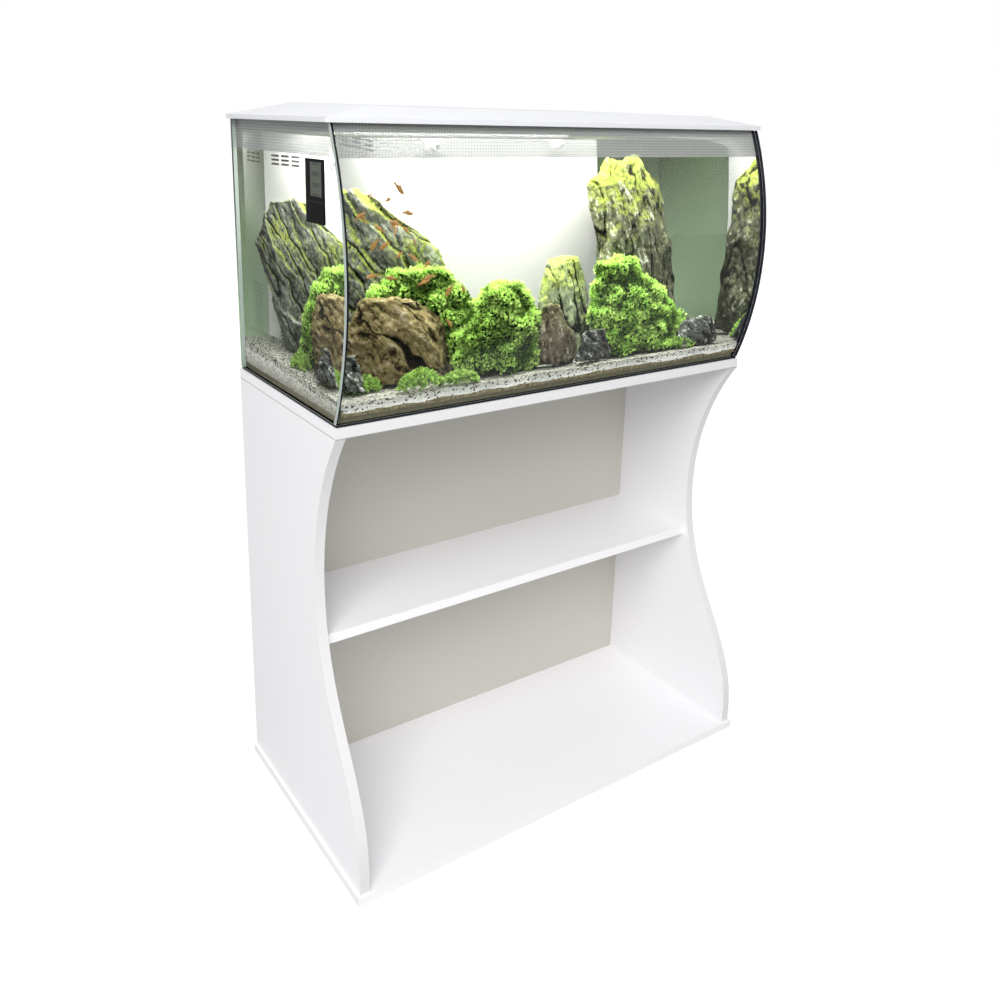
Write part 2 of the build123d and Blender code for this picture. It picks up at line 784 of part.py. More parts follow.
# Return pipe: a riser on the nipple, a cross pipe and a branch to each nozzle
pipe_bore = nipple_radius + pipe_clear
pipe_radius = pipe_bore + pipe_wall
riser_low_z = pump_z + volute_radius + seat_gap
branch_end_y = nozzle_y + ball_radius + ball_gap
riser_plane = Plane.XY.offset(riser_low_z).move(Location((pump_x, nipple_y, 0)))
cross_plane = Plane.YZ.offset(left_outlet_x)
branch_plane = Plane.XZ.offset(-nipple_y)
with BuildPart() as return_pipe:
    for bore, mode in ((pipe_radius, Mode.ADD), (pipe_bore, Mode.SUBTRACT)):
        with BuildSketch(riser_plane):
            Circle(bore)
        extrude(amount=nozzle_z - riser_low_z, mode=mode)
        with BuildSketch(cross_plane):
            with Locations((nipple_y, nozzle_z)):
                Circle(bore)
        extrude(amount=pump_x - left_outlet_x, mode=mode)
        with BuildSketch(branch_plane):
            with Locations((left_outlet_x, nozzle_z), (pump_x, nozzle_z)):
                Circle(bore)
        extrude(amount=nipple_y - branch_end_y, mode=mode)
        if mode == Mode.ADD:
            with Locations((left_outlet_x, nipple_y, nozzle_z), (pump_x, nipple_y, nozzle_z)):
                Sphere(pipe_radius)
return_pipe.part.label = "return_pipe"
export_step(return_pipe.part, "parts/return_pipe.step")

# Collar rings that hold the ball nozzles in the front wall of the housing
with BuildPart() as nozzle_rings:
    with BuildSketch(Plane.XZ.offset(-nozzle_y)):
        with Locations((left_outlet_x, nozzle_z), (pump_x, nozzle_z)):
            Circle(collar_radius)
    extrude(amount=collar_thickness / 2, both=True)
    with Locations((left_outlet_x, nozzle_y, nozzle_z), (pump_x, nozzle_y, nozzle_z)):
        Sphere(ball_radius + ball_clear, mode=Mode.SUBTRACT)
nozzle_rings.part.label = "nozzle_rings"
export_step(nozzle_rings.part, "parts/nozzle_rings.step")


def ball_nozzle(centre_x):
    """One outlet nozzle: a bored ball with a straight spout."""
    with BuildPart() as nozzle:
        with Locations((centre_x, nozzle_y, nozzle_z)):
            Sphere(ball_radius)
        with BuildSketch(Plane.XZ.offset(-nozzle_y)):
            with Locations((centre_x, nozzle_z)):
                Circle(spout_radius)
        extrude(amount=spout_length)
        with BuildSketch(Plane.XZ.offset(-nozzle_y)):
            with Locations((centre_x, nozzle_z)):
                Circle(nozzle_bore)
        extrude(amount=2 * spout_length, both=True, mode=Mode.SUBTRACT)
    return nozzle.part


# Left and right outlet nozzles
left_nozzle = ball_nozzle(left_outlet_x)
left_nozzle.label = "left_nozzle"
export_step(left_nozzle, "parts/left_nozzle.step")
right_nozzle = ball_nozzle(pump_x)
right_nozzle.label = "right_nozzle"
export_step(right_nozzle, "parts/right_nozzle.step")

# Heights and planes of the hood
hood_half = panel_x + hood_side_overhang
hood_front_y = top_front_y - hood_front_overhang
hood_mid_y = (hood_front_y + back_y) / 2
rim_low = tank_top + hood_seat_gap
rim_top = rim_low + rim_height
plateau_front_y = hood_front_y + front_bevel
plateau_run = back_y - plateau_front_y
plateau_tilt = atan2(plateau_back_rise - plateau_front_rise, plateau_run)


def plateau_z(y):
    """Height of the cover's upper face at a place front to back."""
    return rim_top + plateau_front_rise + (y - plateau_front_y) * sin(plateau_tilt) / cos(plateau_tilt)


def plateau_plane(y):
    """Plane in the cover's upper face, its x along the hood and its y up the slope to the back."""
    return Plane(
        origin=(0, y, plateau_z(y)),
        x_dir=(1, 0, 0),
        z_dir=(0, -sin(plateau_tilt), cos(plateau_tilt)),
    )


def hood_form(inset):
    """Hipped form of the cover, or the hollow that lies an inset inside it."""
    bottom = rim_top - 2 * inset - form_skirt
    shoulder_x = hood_half - side_bevel
    top_z = rim_top + plateau_back_rise
    with BuildPart() as form:
        with BuildSketch(Plane.YZ):
            with BuildLine():
                Polyline(
                    (hood_front_y, bottom),
                    (hood_front_y, rim_top),
                    (plateau_front_y, rim_top + plateau_front_rise),
                    (back_y, top_z),
                    (back_y, bottom),
                    close=True,
                )
            make_face()
            if inset > 0:
                offset(amount=-inset, kind=Kind.INTERSECTION, mode=Mode.REPLACE)
        extrude(amount=hood_half, both=True)
        with BuildSketch(Plane.XZ):
            with BuildLine():
                Polyline(
                    (-hood_half, bottom),
                    (-hood_half, rim_top),
                    (-shoulder_x, top_z),
                    (shoulder_x, top_z),
                    (hood_half, rim_top),
                    (hood_half, bottom),
                    close=True,
                )
            make_face()
            if inset > 0:
                offset(amount=-inset, kind=Kind.INTERSECTION, mode=Mode.REPLACE)
        extrude(amount=base_depth, both=True, mode=Mode.INTERSECT)
        split(bisect_by=Plane.XY.offset(rim_top - inset), keep=Keep.TOP)
    return form.part


# Screws that hold the cover on the rim frame
hood_boss_places = [
    (side * (hood_half - hood_boss_from_side), y)
    for side in (-1, 1)
    for y in (hood_front_y + hood_boss_front, back_y - hood_boss_inset)
]
with BuildPart() as hood_screws:
    with Locations(*[(x, y, rim_low) for x, y in hood_boss_places]):
        Cylinder(hood_screw_head, hood_screw_head_height, align=on_low_end)
        Cylinder(hood_screw_radius, hood_screw_length, align=on_low_end)
hood_screws.part.label = "hood_screws"
export_step(hood_screws.part, "parts/hood_screws.step")

# Rim frame: a flat ring on the edges of the glass, with a skirt inside them
skirt_half = film_half - band_thickness - skirt_gap
skirt_front_y = bow_y(tank_top, film_back) + skirt_gap
skirt_back_y = inside_back_y - skirt_gap
skirt_mid_y = (skirt_front_y + skirt_back_y) / 2
skirt_length = skirt_back_y - skirt_front_y
window_front_y = hood_front_y + rim_front
window_back_y = back_y - rim_side
with BuildPart() as hood_frame:
    with BuildSketch(Plane.XY.offset(rim_low)):
        with Locations((0, hood_mid_y)):
            RectangleRounded(2 * hood_half, back_y - hood_front_y, rim_corner)
        with Locations((0, (window_front_y + window_back_y) / 2)):
            Rectangle(2 * (hood_half - rim_side), window_back_y - window_front_y, mode=Mode.SUBTRACT)
    extrude(amount=rim_height)
    with BuildSketch(Plane.XY.offset(rim_low)):
        with Locations((0, skirt_mid_y)):
            Rectangle(2 * skirt_half, skirt_length)
            Rectangle(2 * (skirt_half - skirt_wall), skirt_length - 2 * skirt_wall, mode=Mode.SUBTRACT)
    extrude(amount=-skirt_depth)
    add(hood_screws.part, mode=Mode.SUBTRACT)
hood_frame.part.label = "hood_frame"
export_step(hood_frame.part, "parts/hood_frame.step")

# Gland for the light's lead in the back wall of the cover
gland_plane = Plane(
    origin=(hood_half - gland_from_side, back_y, rim_top + gland_rise),
    x_dir=(-1, 0, 0),
    z_dir=(0, 1, 0),
)
with BuildPart() as cable_gland:
    with BuildSketch(gland_plane):
        Circle(gland_radius)
    extrude(amount=-cover_wall)
    with BuildSketch(gland_plane.offset(-cover_wall)):
        Circle(gland_flange)
    extrude(amount=-gland_flange_thickness)
    with BuildSketch(gland_plane):
        Circle(gland_bore)
    extrude(amount=-cover_wall - gland_flange_thickness, mode=Mode.SUBTRACT)
cable_gland.part.label = "cable_gland"
export_step(cable_gland.part, "parts/cable_gland.step")

# Cover: hipped shell with screw bosses and a pocket with a ledge for the feeding flap
hinge_y = plateau_front_y + flap_setback + flap_depth
hinge_plane = plateau_plane(hinge_y)
hinge_centre = hinge_plane.offset(-flap_thickness / 2).origin
pocket_width = flap_width + 2 * flap_gap
pocket_back = flap_thickness / 2 + flap_rear_gap
pocket_front = -flap_depth - flap_gap
pocket_middle = (pocket_front + pocket_back) / 2
pocket_length = pocket_back - pocket_front
throat_length = flap_depth - 2 * flap_ledge
outer_form = hood_form(0)
bosses = [
    outer_form & Pos(x, y, rim_top) * Cylinder(hood_boss_radius, 4 * plateau_back_rise)
    for x, y in hood_boss_places
]
with BuildPart() as hood_cover:
    add(outer_form)
    add(hood_form(cover_wall), mode=Mode.SUBTRACT)
    for boss in bosses:
        add(boss)
    with BuildSketch(hinge_plane):
        with Locations((0, pocket_middle)):
            Rectangle(pocket_width + 2 * flap_collar, pocket_length + 2 * flap_collar)
    extrude(amount=-flap_collar_depth)
    with BuildSketch(hinge_plane):
        with Locations((0, pocket_middle)):
            Rectangle(pocket_width, pocket_length)
    extrude(amount=-flap_thickness - flap_rest_gap, mode=Mode.SUBTRACT)
    with BuildSketch(hinge_plane):
        with Locations((0, -flap_depth / 2)):
            Rectangle(flap_width - 2 * flap_ledge, throat_length)
    extrude(amount=-2 * flap_collar_depth, mode=Mode.SUBTRACT)
    with BuildSketch(hinge_plane):
        with Locations((0, pocket_front)):
            SlotOverall(flap_notch_width, 2 * flap_notch_depth)
    extrude(amount=-flap_thickness, mode=Mode.SUBTRACT)
    with BuildSketch(Plane.YZ.offset(-pocket_width / 2 - trunnion_length)):
        with Locations((hinge_centre.Y, hinge_centre.Z)):
            Circle(trunnion_radius + trunnion_clear)
    extrude(amount=pocket_width + 2 * trunnion_length, mode=Mode.SUBTRACT)
    with BuildSketch(gland_plane):
        Circle(gland_radius)
    extrude(amount=-cover_wall, mode=Mode.SUBTRACT)
    add(hood_screws.part, mode=Mode.SUBTRACT)
hood_cover.part.label = "hood_cover"
export_step(hood_cover.part, "parts/hood_cover.step")

# Feeding flap: a plate with a rounded rear edge and a trunnion at each end
trunnion_span = flap_width + 2 * trunnion_length
with BuildPart() as feeding_flap:
    with BuildSketch(hinge_plane):
        with Locations((0, -flap_depth / 2)):
            Rectangle(flap_width, flap_depth)
    extrude(amount=-flap_thickness)
    with BuildSketch(Plane.YZ.offset(-flap_width / 2)):
        with Locations((hinge_centre.Y, hinge_centre.Z)):
            Circle(flap_thickness / 2)
    extrude(amount=flap_width)
    with BuildSketch(Plane.YZ.offset(-trunnion_span / 2)):
        with Locations((hinge_centre.Y, hinge_centre.Z)):
            Circle(trunnion_radius)
    extrude(amount=trunnion_span)
feeding_flap.part.label = "feeding_flap"
export_step(feeding_flap.part, "parts/feeding_flap.step")

# Light channel under the cover, open downwards
light_y = hinge_y + light_setback + light_width / 2
light_plane = plateau_plane(light_y).offset(-cover_wall)
light_length = 2 * (hood_half - side_bevel - light_end_gap)
light_inner_length = light_length - 2 * light_wall
light_inner_width = light_width - 2 * light_wall
with BuildPart() as led_housing:
    with BuildSketch(light_plane):
        Rectangle(light_length, light_width)
    extrude(amount=-light_height)
    with BuildSketch(light_plane.offset(-light_wall)):
        Rectangle(light_inner_length, light_inner_width)
    extrude(amount=-light_height, mode=Mode.SUBTRACT)
led_housing.part.label = "led_housing"
export_step(led_housing.part, "parts/led_housing.step")

# Circuit board against the roof of the channel
board_plane = light_plane.offset(-light_wall)
light_board_length = light_inner_length - 2 * light_board_gap
diode_columns = int((light_board_length - diode_size) // diode_pitch)
with BuildPart() as led_board:
    with BuildSketch(board_plane):
        Rectangle(light_board_length, light_inner_width - 2 * light_board_gap)
    extrude(amount=-light_board_thickness)
led_board.part.label = "led_board"
export_step(led_board.part, "parts/led_board.step")

# Diodes in two rows on the board
with BuildPart() as led_diodes:
    with BuildSketch(board_plane.offset(-light_board_thickness)):
        with GridLocations(diode_pitch, diode_row_pitch, diode_columns, diode_rows):
            Rectangle(diode_size, diode_size)
    extrude(amount=-diode_height)
led_diodes.part.label = "led_diodes"
export_step(led_diodes.part, "parts/led_diodes.step")

# Lens plate that closes the channel
with BuildPart() as led_lens:
    with BuildSketch(light_plane.offset(-light_height)):
        Rectangle(light_inner_length, light_inner_width)
    extrude(amount=light_lens_thickness)
led_lens.part.label = "led_lens"
export_step(led_lens.part, "parts/led_lens.step")

# Thermometer pad, stuck to the outside of the left pane
meter_y = tank_front_y + meter_from_front + meter_width / 2
meter_z = tank_top - meter_below_rim - meter_height / 2
meter_plane = Plane(origin=(-tank_half, meter_y, meter_z), x_dir=(0, -1, 0), z_dir=(-1, 0, 0))
with BuildPart() as thermometer_pad:
    with BuildSketch(meter_plane):
        Rectangle(meter_width - 2 * meter_pad_inset, meter_height - 2 * meter_pad_inset)
    extrude(amount=meter_pad)
thermometer_pad.part.label = "thermometer_pad"
export_step(thermometer_pad.part, "parts/thermometer_pad.step")

# Thermometer case with a recess for its display
window_v = (meter_height - window_height) / 2 - window_drop
with BuildPart() as thermometer_case:
    with BuildSketch(meter_plane.offset(meter_pad)):
        RectangleRounded(meter_width, meter_height, meter_corner)
    extrude(amount=meter_thickness)
    with BuildSketch(meter_plane.offset(meter_pad + meter_thickness)):
        with Locations((window_shift, window_v)):
            Rectangle(window_width, window_height)
    extrude(amount=-window_depth, mode=Mode.SUBTRACT)
thermometer_case.part.label = "thermometer_case"
export_step(thermometer_case.part, "parts/thermometer_case.step")

# Display in that recess
with BuildPart() as thermometer_display:
    with BuildSketch(meter_plane.offset(meter_pad + meter_thickness)):
        with Locations((window_shift, window_v)):
            Rectangle(window_width, window_height)
    extrude(amount=-window_depth)
thermometer_display.part.label = "thermometer_display"
export_step(thermometer_display.part, "parts/thermometer_display.step")

# Sand bed round the filter housing, sloping up to the back
sand_low = floor_z + sand_gap
sand_front_z = sand_low + sand_front
sand_back_z = sand_low + sand_back
sand_front_y = bow_y(sand_low, glass) + seam + sand_gap
sand_back_y = inside_back_y - sand_gap
with BuildPart() as sand_bed:
    with BuildSketch(Plane.YZ.offset(-inside_x + sand_gap)):
        with BuildLine():
            Polyline(
                (sand_front_y, sand_low),
                (bow_y(sand_front_z, glass) + sand_gap, sand_front_z),
                (sand_back_y, sand_back_z),
                (sand_back_y, sand_low),
                close=True,
            )
        make_face()
    extrude(amount=2 * (inside_x - sand_gap))
    with BuildSketch(Plane.XY.offset(floor_z)):
        with BuildLine():
            Polyline(*housing_plan, close=True)
        make_face()
        offset(amount=sand_gap, kind=Kind.INTERSECTION)
    extrude(amount=housing_depth, mode=Mode.SUBTRACT)
sand_bed.part.label = "sand_bed"
export_step(sand_bed.part, "parts/sand_bed.step")


def stone(place, size, lean=(0, 0), turn=0, foot=1.0, shoulder=(0.5, 0.92), crown=0.4, sides=9, ripple=0.1):
    """A rough stone or cushion: three many-sided sections, foot, shoulder and crown, joined straight."""
    length, width, height = size
    levels = ((0, foot), shoulder, (1.0, crown))
    with BuildPart() as body:
        for level, spread_share in levels:
            centre = (place[0] + lean[0] * level, place[1] + lean[1] * level, sand_low + level * height)
            angles = [2 * pi * step / sides for step in range(sides)]
            corners = [
                (
                    spread_share * length / 2 * (1 - ripple + ripple * sin(3 * angle + level)) * cos(angle),
                    spread_share * width / 2 * (1 - ripple + ripple * cos(2 * angle + level)) * sin(angle),
                )
                for angle in angles
            ]
            with BuildSketch(Plane(origin=centre).rotated((0, 0, turn))):
                with BuildLine():
                    Polyline(*corners, close=True)
                make_face()
        loft(ruled=True)
    return body.part


def lay(body, *under):
    """Cut a stone or cushion to lie on the sand and against what was laid before it."""
    with BuildPart() as laid:
        add(body)
        add(sand_bed.part, mode=Mode.SUBTRACT)
        for neighbour in under:
            add(neighbour, mode=Mode.SUBTRACT)
    return laid.part


# Places the stones are measured from
left_x = -inside_x
right_x = inside_x
glass_front_y = bow_y(sand_front_z, glass)

# Leaning slate slab across the left end of the housing, behind the boulder
housing_end_x = housing_x - housing_front_width / 2
slate_rock = lay(
    stone(
        place=(housing_end_x + slate_past_end, housing_front_y - slate_from_housing),
        size=(slate_length, slate_width, slate_height),
        lean=(-slate_lean_side, slate_lean_back),
        turn=-slate_turn,
        foot=slate_foot,
        shoulder=slate_shoulder,
        crown=slate_crown,
    )
)
slate_rock.label = "slate_rock"
export_step(slate_rock, "parts/slate_rock.step")

# Brown boulder in front of the slate
brown_boulder = lay(
    stone(
        place=(left_x + boulder_from_side, glass_front_y + boulder_from_front),
        size=(boulder_length, boulder_width, boulder_height),
        lean=(-boulder_lean_side, boulder_lean_back),
        shoulder=boulder_shoulder,
        crown=boulder_crown,
    ),
    slate_rock,
)
brown_boulder.label = "brown_boulder"
export_step(brown_boulder, "parts/brown_boulder.step")

# Small stone in the front left corner
corner_rock = lay(
    stone(
        place=(left_x + corner_rock_from_side, glass_front_y + corner_rock_from_front),
        size=(corner_rock_length, corner_rock_width, corner_rock_height),
    ),
    slate_rock,
    brown_boulder,
)
corner_rock.label = "corner_rock"
export_step(corner_rock, "parts/corner_rock.step")

# Dark stone in the middle, near the front pane
centre_rock = lay(
    stone(
        place=(0, glass_front_y + centre_rock_from_front),
        size=(centre_rock_length, centre_rock_width, centre_rock_height),
        lean=(-centre_rock_lean, 0),
        crown=centre_rock_crown,
    ),
    brown_boulder,
)
centre_rock.label = "centre_rock"
export_step(centre_rock, "parts/centre_rock.step")

# Grey stone behind it
grey_rock = lay(
    stone(
        place=(grey_rock_from_middle, housing_front_y - grey_rock_from_housing),
        size=(grey_rock_length, grey_rock_width, grey_rock_height),
        lean=(-grey_rock_lean, grey_rock_lean),
        crown=grey_rock_crown,
    ),
    centre_rock,
)
grey_rock.label = "grey_rock"
export_step(grey_rock, "parts/grey_rock.step")

# Tall upright stone at the right
monolith_rock = lay(
    stone(
        place=(right_x - monolith_from_side, housing_front_y - monolith_from_housing),
        size=(monolith_length, monolith_width, monolith_height),
        lean=(-monolith_lean_side, monolith_lean_back),
        turn=monolith_turn,
        shoulder=monolith_shoulder,
        crown=monolith_crown,
    ),
    grey_rock,
)
monolith_rock.label = "monolith_rock"
export_step(monolith_rock, "parts/monolith_rock.step")

# Two low stones at the front right
low_rock = lay(
    stone(
        place=(low_rock_from_middle, glass_front_y + low_rock_from_front),
        size=(low_rock_length, low_rock_width, low_rock_height),
        crown=low_crown,
    ),
    centre_rock,
    grey_rock,
)
flat_rock = lay(
    stone(
        place=(right_x - flat_rock_from_side, glass_front_y + flat_rock_from_front),
        size=(flat_rock_length, flat_rock_width, flat_rock_height),
        crown=low_crown,
    ),
    monolith_rock,
)
with BuildPart() as small_rocks:
    add(low_rock)
    add(flat_rock)
small_rocks.part.label = "small_rocks"
export_step(small_rocks.part, "parts/small_rocks.step")

# Moss cushions over and between the stones
left_stones = (slate_rock, brown_boulder, corner_rock)
right_stones = (grey_rock, monolith_rock, low_rock, flat_rock)
stones = (*left_stones, centre_rock, *right_stones)
cushion = {"sides": moss_sides, "ripple": moss_ripple}
dome = {"shoulder": moss_shoulder, "crown": moss_crown, **cushion}
slope = {"shoulder": right_moss_shoulder, "crown": right_moss_crown, **cushion}
left_moss = lay(
    stone(
        place=(left_x + left_moss_from_side, glass_front_y + left_moss_from_front),
        size=(left_moss_length, left_moss_width, left_moss_height),
        turn=-left_moss_turn,
        **dome,
    ),
    *stones,
)
centre_moss = lay(
    stone(
        place=(-centre_moss_from_middle, glass_front_y + centre_moss_from_front),
        size=(centre_moss_length, centre_moss_width, centre_moss_height),
        **dome,
    ),
    left_moss,
    *stones,
)
right_moss = lay(
    stone(
        place=(right_x - right_moss_from_side, glass_front_y + right_moss_from_front),
        size=(right_moss_length, right_moss_width, right_moss_height),
        lean=(-right_moss_lean_side, right_moss_lean_back),
        **slope,
    ),
    centre_moss,
    *stones,
)
with BuildPart() as moss_cushions:
    add(left_moss)
    add(centre_moss)
    add(right_moss)
moss_cushions.part.label = "moss_cushions"
export_step(moss_cushions.part, "parts/moss_cushions.step")
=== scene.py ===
import math
import random

import bmesh
import bpy
from mathutils import Matrix, Vector, noise


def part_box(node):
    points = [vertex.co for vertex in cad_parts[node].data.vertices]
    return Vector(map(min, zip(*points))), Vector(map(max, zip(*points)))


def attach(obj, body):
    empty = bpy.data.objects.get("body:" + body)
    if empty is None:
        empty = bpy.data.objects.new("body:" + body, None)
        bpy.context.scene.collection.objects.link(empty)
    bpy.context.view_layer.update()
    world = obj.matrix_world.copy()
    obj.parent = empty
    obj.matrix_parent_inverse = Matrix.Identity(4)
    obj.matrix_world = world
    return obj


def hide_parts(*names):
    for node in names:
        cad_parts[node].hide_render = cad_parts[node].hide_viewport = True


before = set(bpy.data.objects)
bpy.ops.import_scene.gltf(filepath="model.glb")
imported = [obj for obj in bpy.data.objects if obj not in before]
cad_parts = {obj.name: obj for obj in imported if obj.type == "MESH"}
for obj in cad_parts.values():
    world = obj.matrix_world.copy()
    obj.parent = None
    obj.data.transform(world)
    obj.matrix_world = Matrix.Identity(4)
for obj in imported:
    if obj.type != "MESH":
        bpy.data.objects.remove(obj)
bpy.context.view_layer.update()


# Stand boards
# Six particle boards faced in white melamine, dowelled and screwed together.
# Their cut edges carry a thin plastic band with a slightly broken arris; on the upright boards the
# front edges are painted a darker white as shade.
class Value:
    """A node socket that takes part in plain arithmetic."""

    def __init__(self, look, socket):
        self.look = look
        self.socket = socket

    def out(self, name):
        return Value(self.look, self.socket.node.outputs[name])

    def __add__(self, other):
        return self.look.maths("ADD", self, other)

    def __radd__(self, other):
        return self.look.maths("ADD", other, self)

    def __sub__(self, other):
        return self.look.maths("SUBTRACT", self, other)

    def __rsub__(self, other):
        return self.look.maths("SUBTRACT", other, self)

    def __mul__(self, other):
        return self.look.maths("MULTIPLY", self, other)

    def __rmul__(self, other):
        return self.look.maths("MULTIPLY", other, self)

    def __truediv__(self, other):
        return self.look.maths("DIVIDE", self, other)

    def __gt__(self, other):
        return self.look.maths("GREATER_THAN", self, other)

    def __lt__(self, other):
        return self.look.maths("LESS_THAN", self, other)

    def __abs__(self):
        return self.look.maths("ABSOLUTE", self, 0.0)

    def clamp(self):
        return self.look.node("ShaderNodeClamp", {}, {"Value": self})


class Look:
    """A material, or the surround, made of nodes that are combined as values."""

    def __init__(self, name, owner=None):
        self.owner = owner or bpy.data.materials.new(name)
        self.owner.use_nodes = True
        self.tree = self.owner.node_tree
        self.tree.nodes.clear()

    def node(self, kind, settings, sockets, out=0):
        made = self.tree.nodes.new(kind)
        for key, value in settings.items():
            setattr(made, key, value)
        for key, value in sockets.items():
            if isinstance(value, Value):
                self.tree.links.new(value.socket, made.inputs[key])
            else:
                made.inputs[key].default_value = value
        return Value(self, made.outputs[out]) if made.outputs else None

    def maths(self, operation, a, b):
        return self.node("ShaderNodeMath", {"operation": operation}, {0: a, 1: b})

    def mix(self, factor, a, b):
        return self.node("ShaderNodeMix", {"data_type": "RGBA"}, {0: factor, 6: a, 7: b}, 2)

    def blend(self, factor, a, b):
        return self.node("ShaderNodeMixShader", {}, {0: factor, 1: a, 2: b})

    def place(self):
        return self.node("ShaderNodeTexCoord", {}, {}, "Object")

    def split(self, vector):
        made = self.node("ShaderNodeSeparateXYZ", {}, {0: vector})
        return made.out("X"), made.out("Y"), made.out("Z")

    def normal(self, kind="Normal"):
        return self.split(self.node("ShaderNodeNewGeometry", {}, {}, kind))

    def grain(self, vector, scale, detail=3.0, rough=0.55):
        return self.node(
            "ShaderNodeTexNoise",
            {},
            {"Vector": vector, "Scale": scale, "Detail": detail, "Roughness": rough},
        )

    def cells(self, scale, out="Distance"):
        return self.node("ShaderNodeTexVoronoi", {}, {"Vector": self.place(), "Scale": scale}, out)

    def attribute(self, name):
        return self.node("ShaderNodeAttribute", {"attribute_name": name}, {}, "Fac")

    def bump(self, height, strength, distance):
        return self.node(
            "ShaderNodeBump", {}, {"Height": height, "Strength": strength, "Distance": distance}
        )

    def clear(self, colour):
        return self.node("ShaderNodeBsdfTransparent", {}, {"Color": colour})

    def paint(self, sockets):
        return self.node("ShaderNodeBsdfPrincipled", {}, sockets)

    def done(self, shader, output="ShaderNodeOutputMaterial"):
        self.node(output, {}, {"Surface": shader})
        return self.owner

    def plain(self, sockets):
        return self.done(self.paint(sockets))


def melamine(name, colour, shade, edge):
    """White board facing with a banded front edge in its own colour, painted darker as shade on
    the upright boards, and a painted shadow line at the joint under the top plate.
    """
    joint_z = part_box("top_plate")[0].z
    joint_half = 0.0008
    joint_shadow_share = 0.6
    joint_shadow_colour = (0.2, 0.2, 0.2, 1)
    look = Look(name)
    front = look.normal()[1] < -0.3
    # a thin dark line at the joint under the top plate: painted shadow of the gap
    joint = abs(look.split(look.place())[2] - joint_z) < joint_half
    tone = look.mix(look.grain(look.place(), 6.0), colour, shade)
    # front faces take the edge colour: painted shade where it is darker than the face
    face = look.mix(front, tone, edge)
    return look.plain(
        {
            "Base Color": look.mix(joint * joint_shadow_share, face, joint_shadow_colour),
            "Roughness": 0.34 + 0.08 * look.grain(look.place(), 420.0),
            "Specular IOR Level": 0.35,
        }
    )


def piece_from(name, work, material, body, nodes):
    """Turns a bmesh into a piece that rides on a body and stands for the given nodes."""
    mesh = bpy.data.meshes.new(name)
    work.to_mesh(mesh)
    work.free()
    made = bpy.data.objects.new(name, mesh)
    bpy.context.collection.objects.link(made)
    made.data.materials.append(material)
    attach(made, body)
    if nodes:
        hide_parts(*nodes)
    return made


def merged(node):
    """A bmesh copy of a node, its split corners merged."""
    weld = 2e-6
    work = bmesh.new()
    work.from_mesh(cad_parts[node].data)
    bmesh.ops.remove_doubles(work, verts=work.verts, dist=weld)
    return work


def softened(node, body, material, width):
    """A copy of a node with its arrises broken."""
    flat_angle = 0.005
    arris_angle = 0.6
    smooth_angle = 0.15
    work = merged(node)
    bmesh.ops.dissolve_limit(work, angle_limit=flat_angle, verts=work.verts, edges=work.edges)
    arrises = [
        e for e in work.edges if len(e.link_faces) == 2 and e.calc_face_angle() > arris_angle
    ]
    bmesh.ops.bevel(
        work,
        geom=arrises,
        offset=width,
        offset_type="OFFSET",
        segments=2,
        profile=0.5,
        affect="EDGES",
        material=-1,
        clamp_overlap=True,
    )
    for face in work.faces:
        face.smooth = True
    for edge in work.edges:
        edge.smooth = len(edge.link_faces) == 2 and edge.calc_face_angle() < smooth_angle
    return piece_from(node + "_soft", work, material, body, [node])


board_white = (0.915, 0.91, 0.925, 1)
board_shade = (0.895, 0.89, 0.91, 1)
board_front_shade = (0.74, 0.735, 0.74, 1)
# The back panel, white board like the others, is painted a darker warm grey: painted shade deep in
# the stand.
back_shaded_tone = (0.58, 0.565, 0.515, 1)
back_shade = (0.55, 0.535, 0.485, 1)
board_arris = 0.0011
level_board = melamine("level_board", board_white, board_shade, board_white)
upright_board = melamine("upright_board", board_white, board_shade, board_front_shade)
shaded_back_board = melamine("shaded_back_board", back_shaded_tone, back_shade, back_shaded_tone)
for board, facing in (
    ("base_plate", level_board),
    ("shelf", level_board),
    ("left_side_panel", upright_board),
    ("right_side_panel", upright_board),
    ("top_plate", upright_board),
    ("back_panel", shaded_back_board),
):
    softened(board, "stand_and_tank", facing, board_arris)


# Dowels and screws
# Grooved beech dowels glued into both boards, and zinc-plated countersunk
# screws; they lie inside the boards and are shown as the solids they are.
def dress(material, *nodes):
    """Gives CAD nodes a material in the slots they have."""
    for node in nodes:
        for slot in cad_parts[node].material_slots:
            slot.material = material


beech = Look("beech")
along = beech.node(
    "ShaderNodeMapping", {}, {"Vector": beech.place(), "Scale": (400, 400, 20)}
)
beech_look = beech.plain(
    {
        "Base Color": beech.mix(
            beech.grain(along, 1.0), (0.62, 0.44, 0.27, 1), (0.48, 0.32, 0.18, 1)
        ),
        "Roughness": 0.7,
    }
)
dress(beech_look, "panel_dowels", "shelf_dowels")
zinc = Look("zinc")
zinc_look = zinc.plain(
    {
        "Base Color": (0.62, 0.62, 0.6, 1),
        "Metallic": 1.0,
        "Roughness": 0.28 + 0.1 * zinc.grain(zinc.place(), 900.0),
    }
)
dress(zinc_look, "base_screws", "top_screws", "hood_screws")


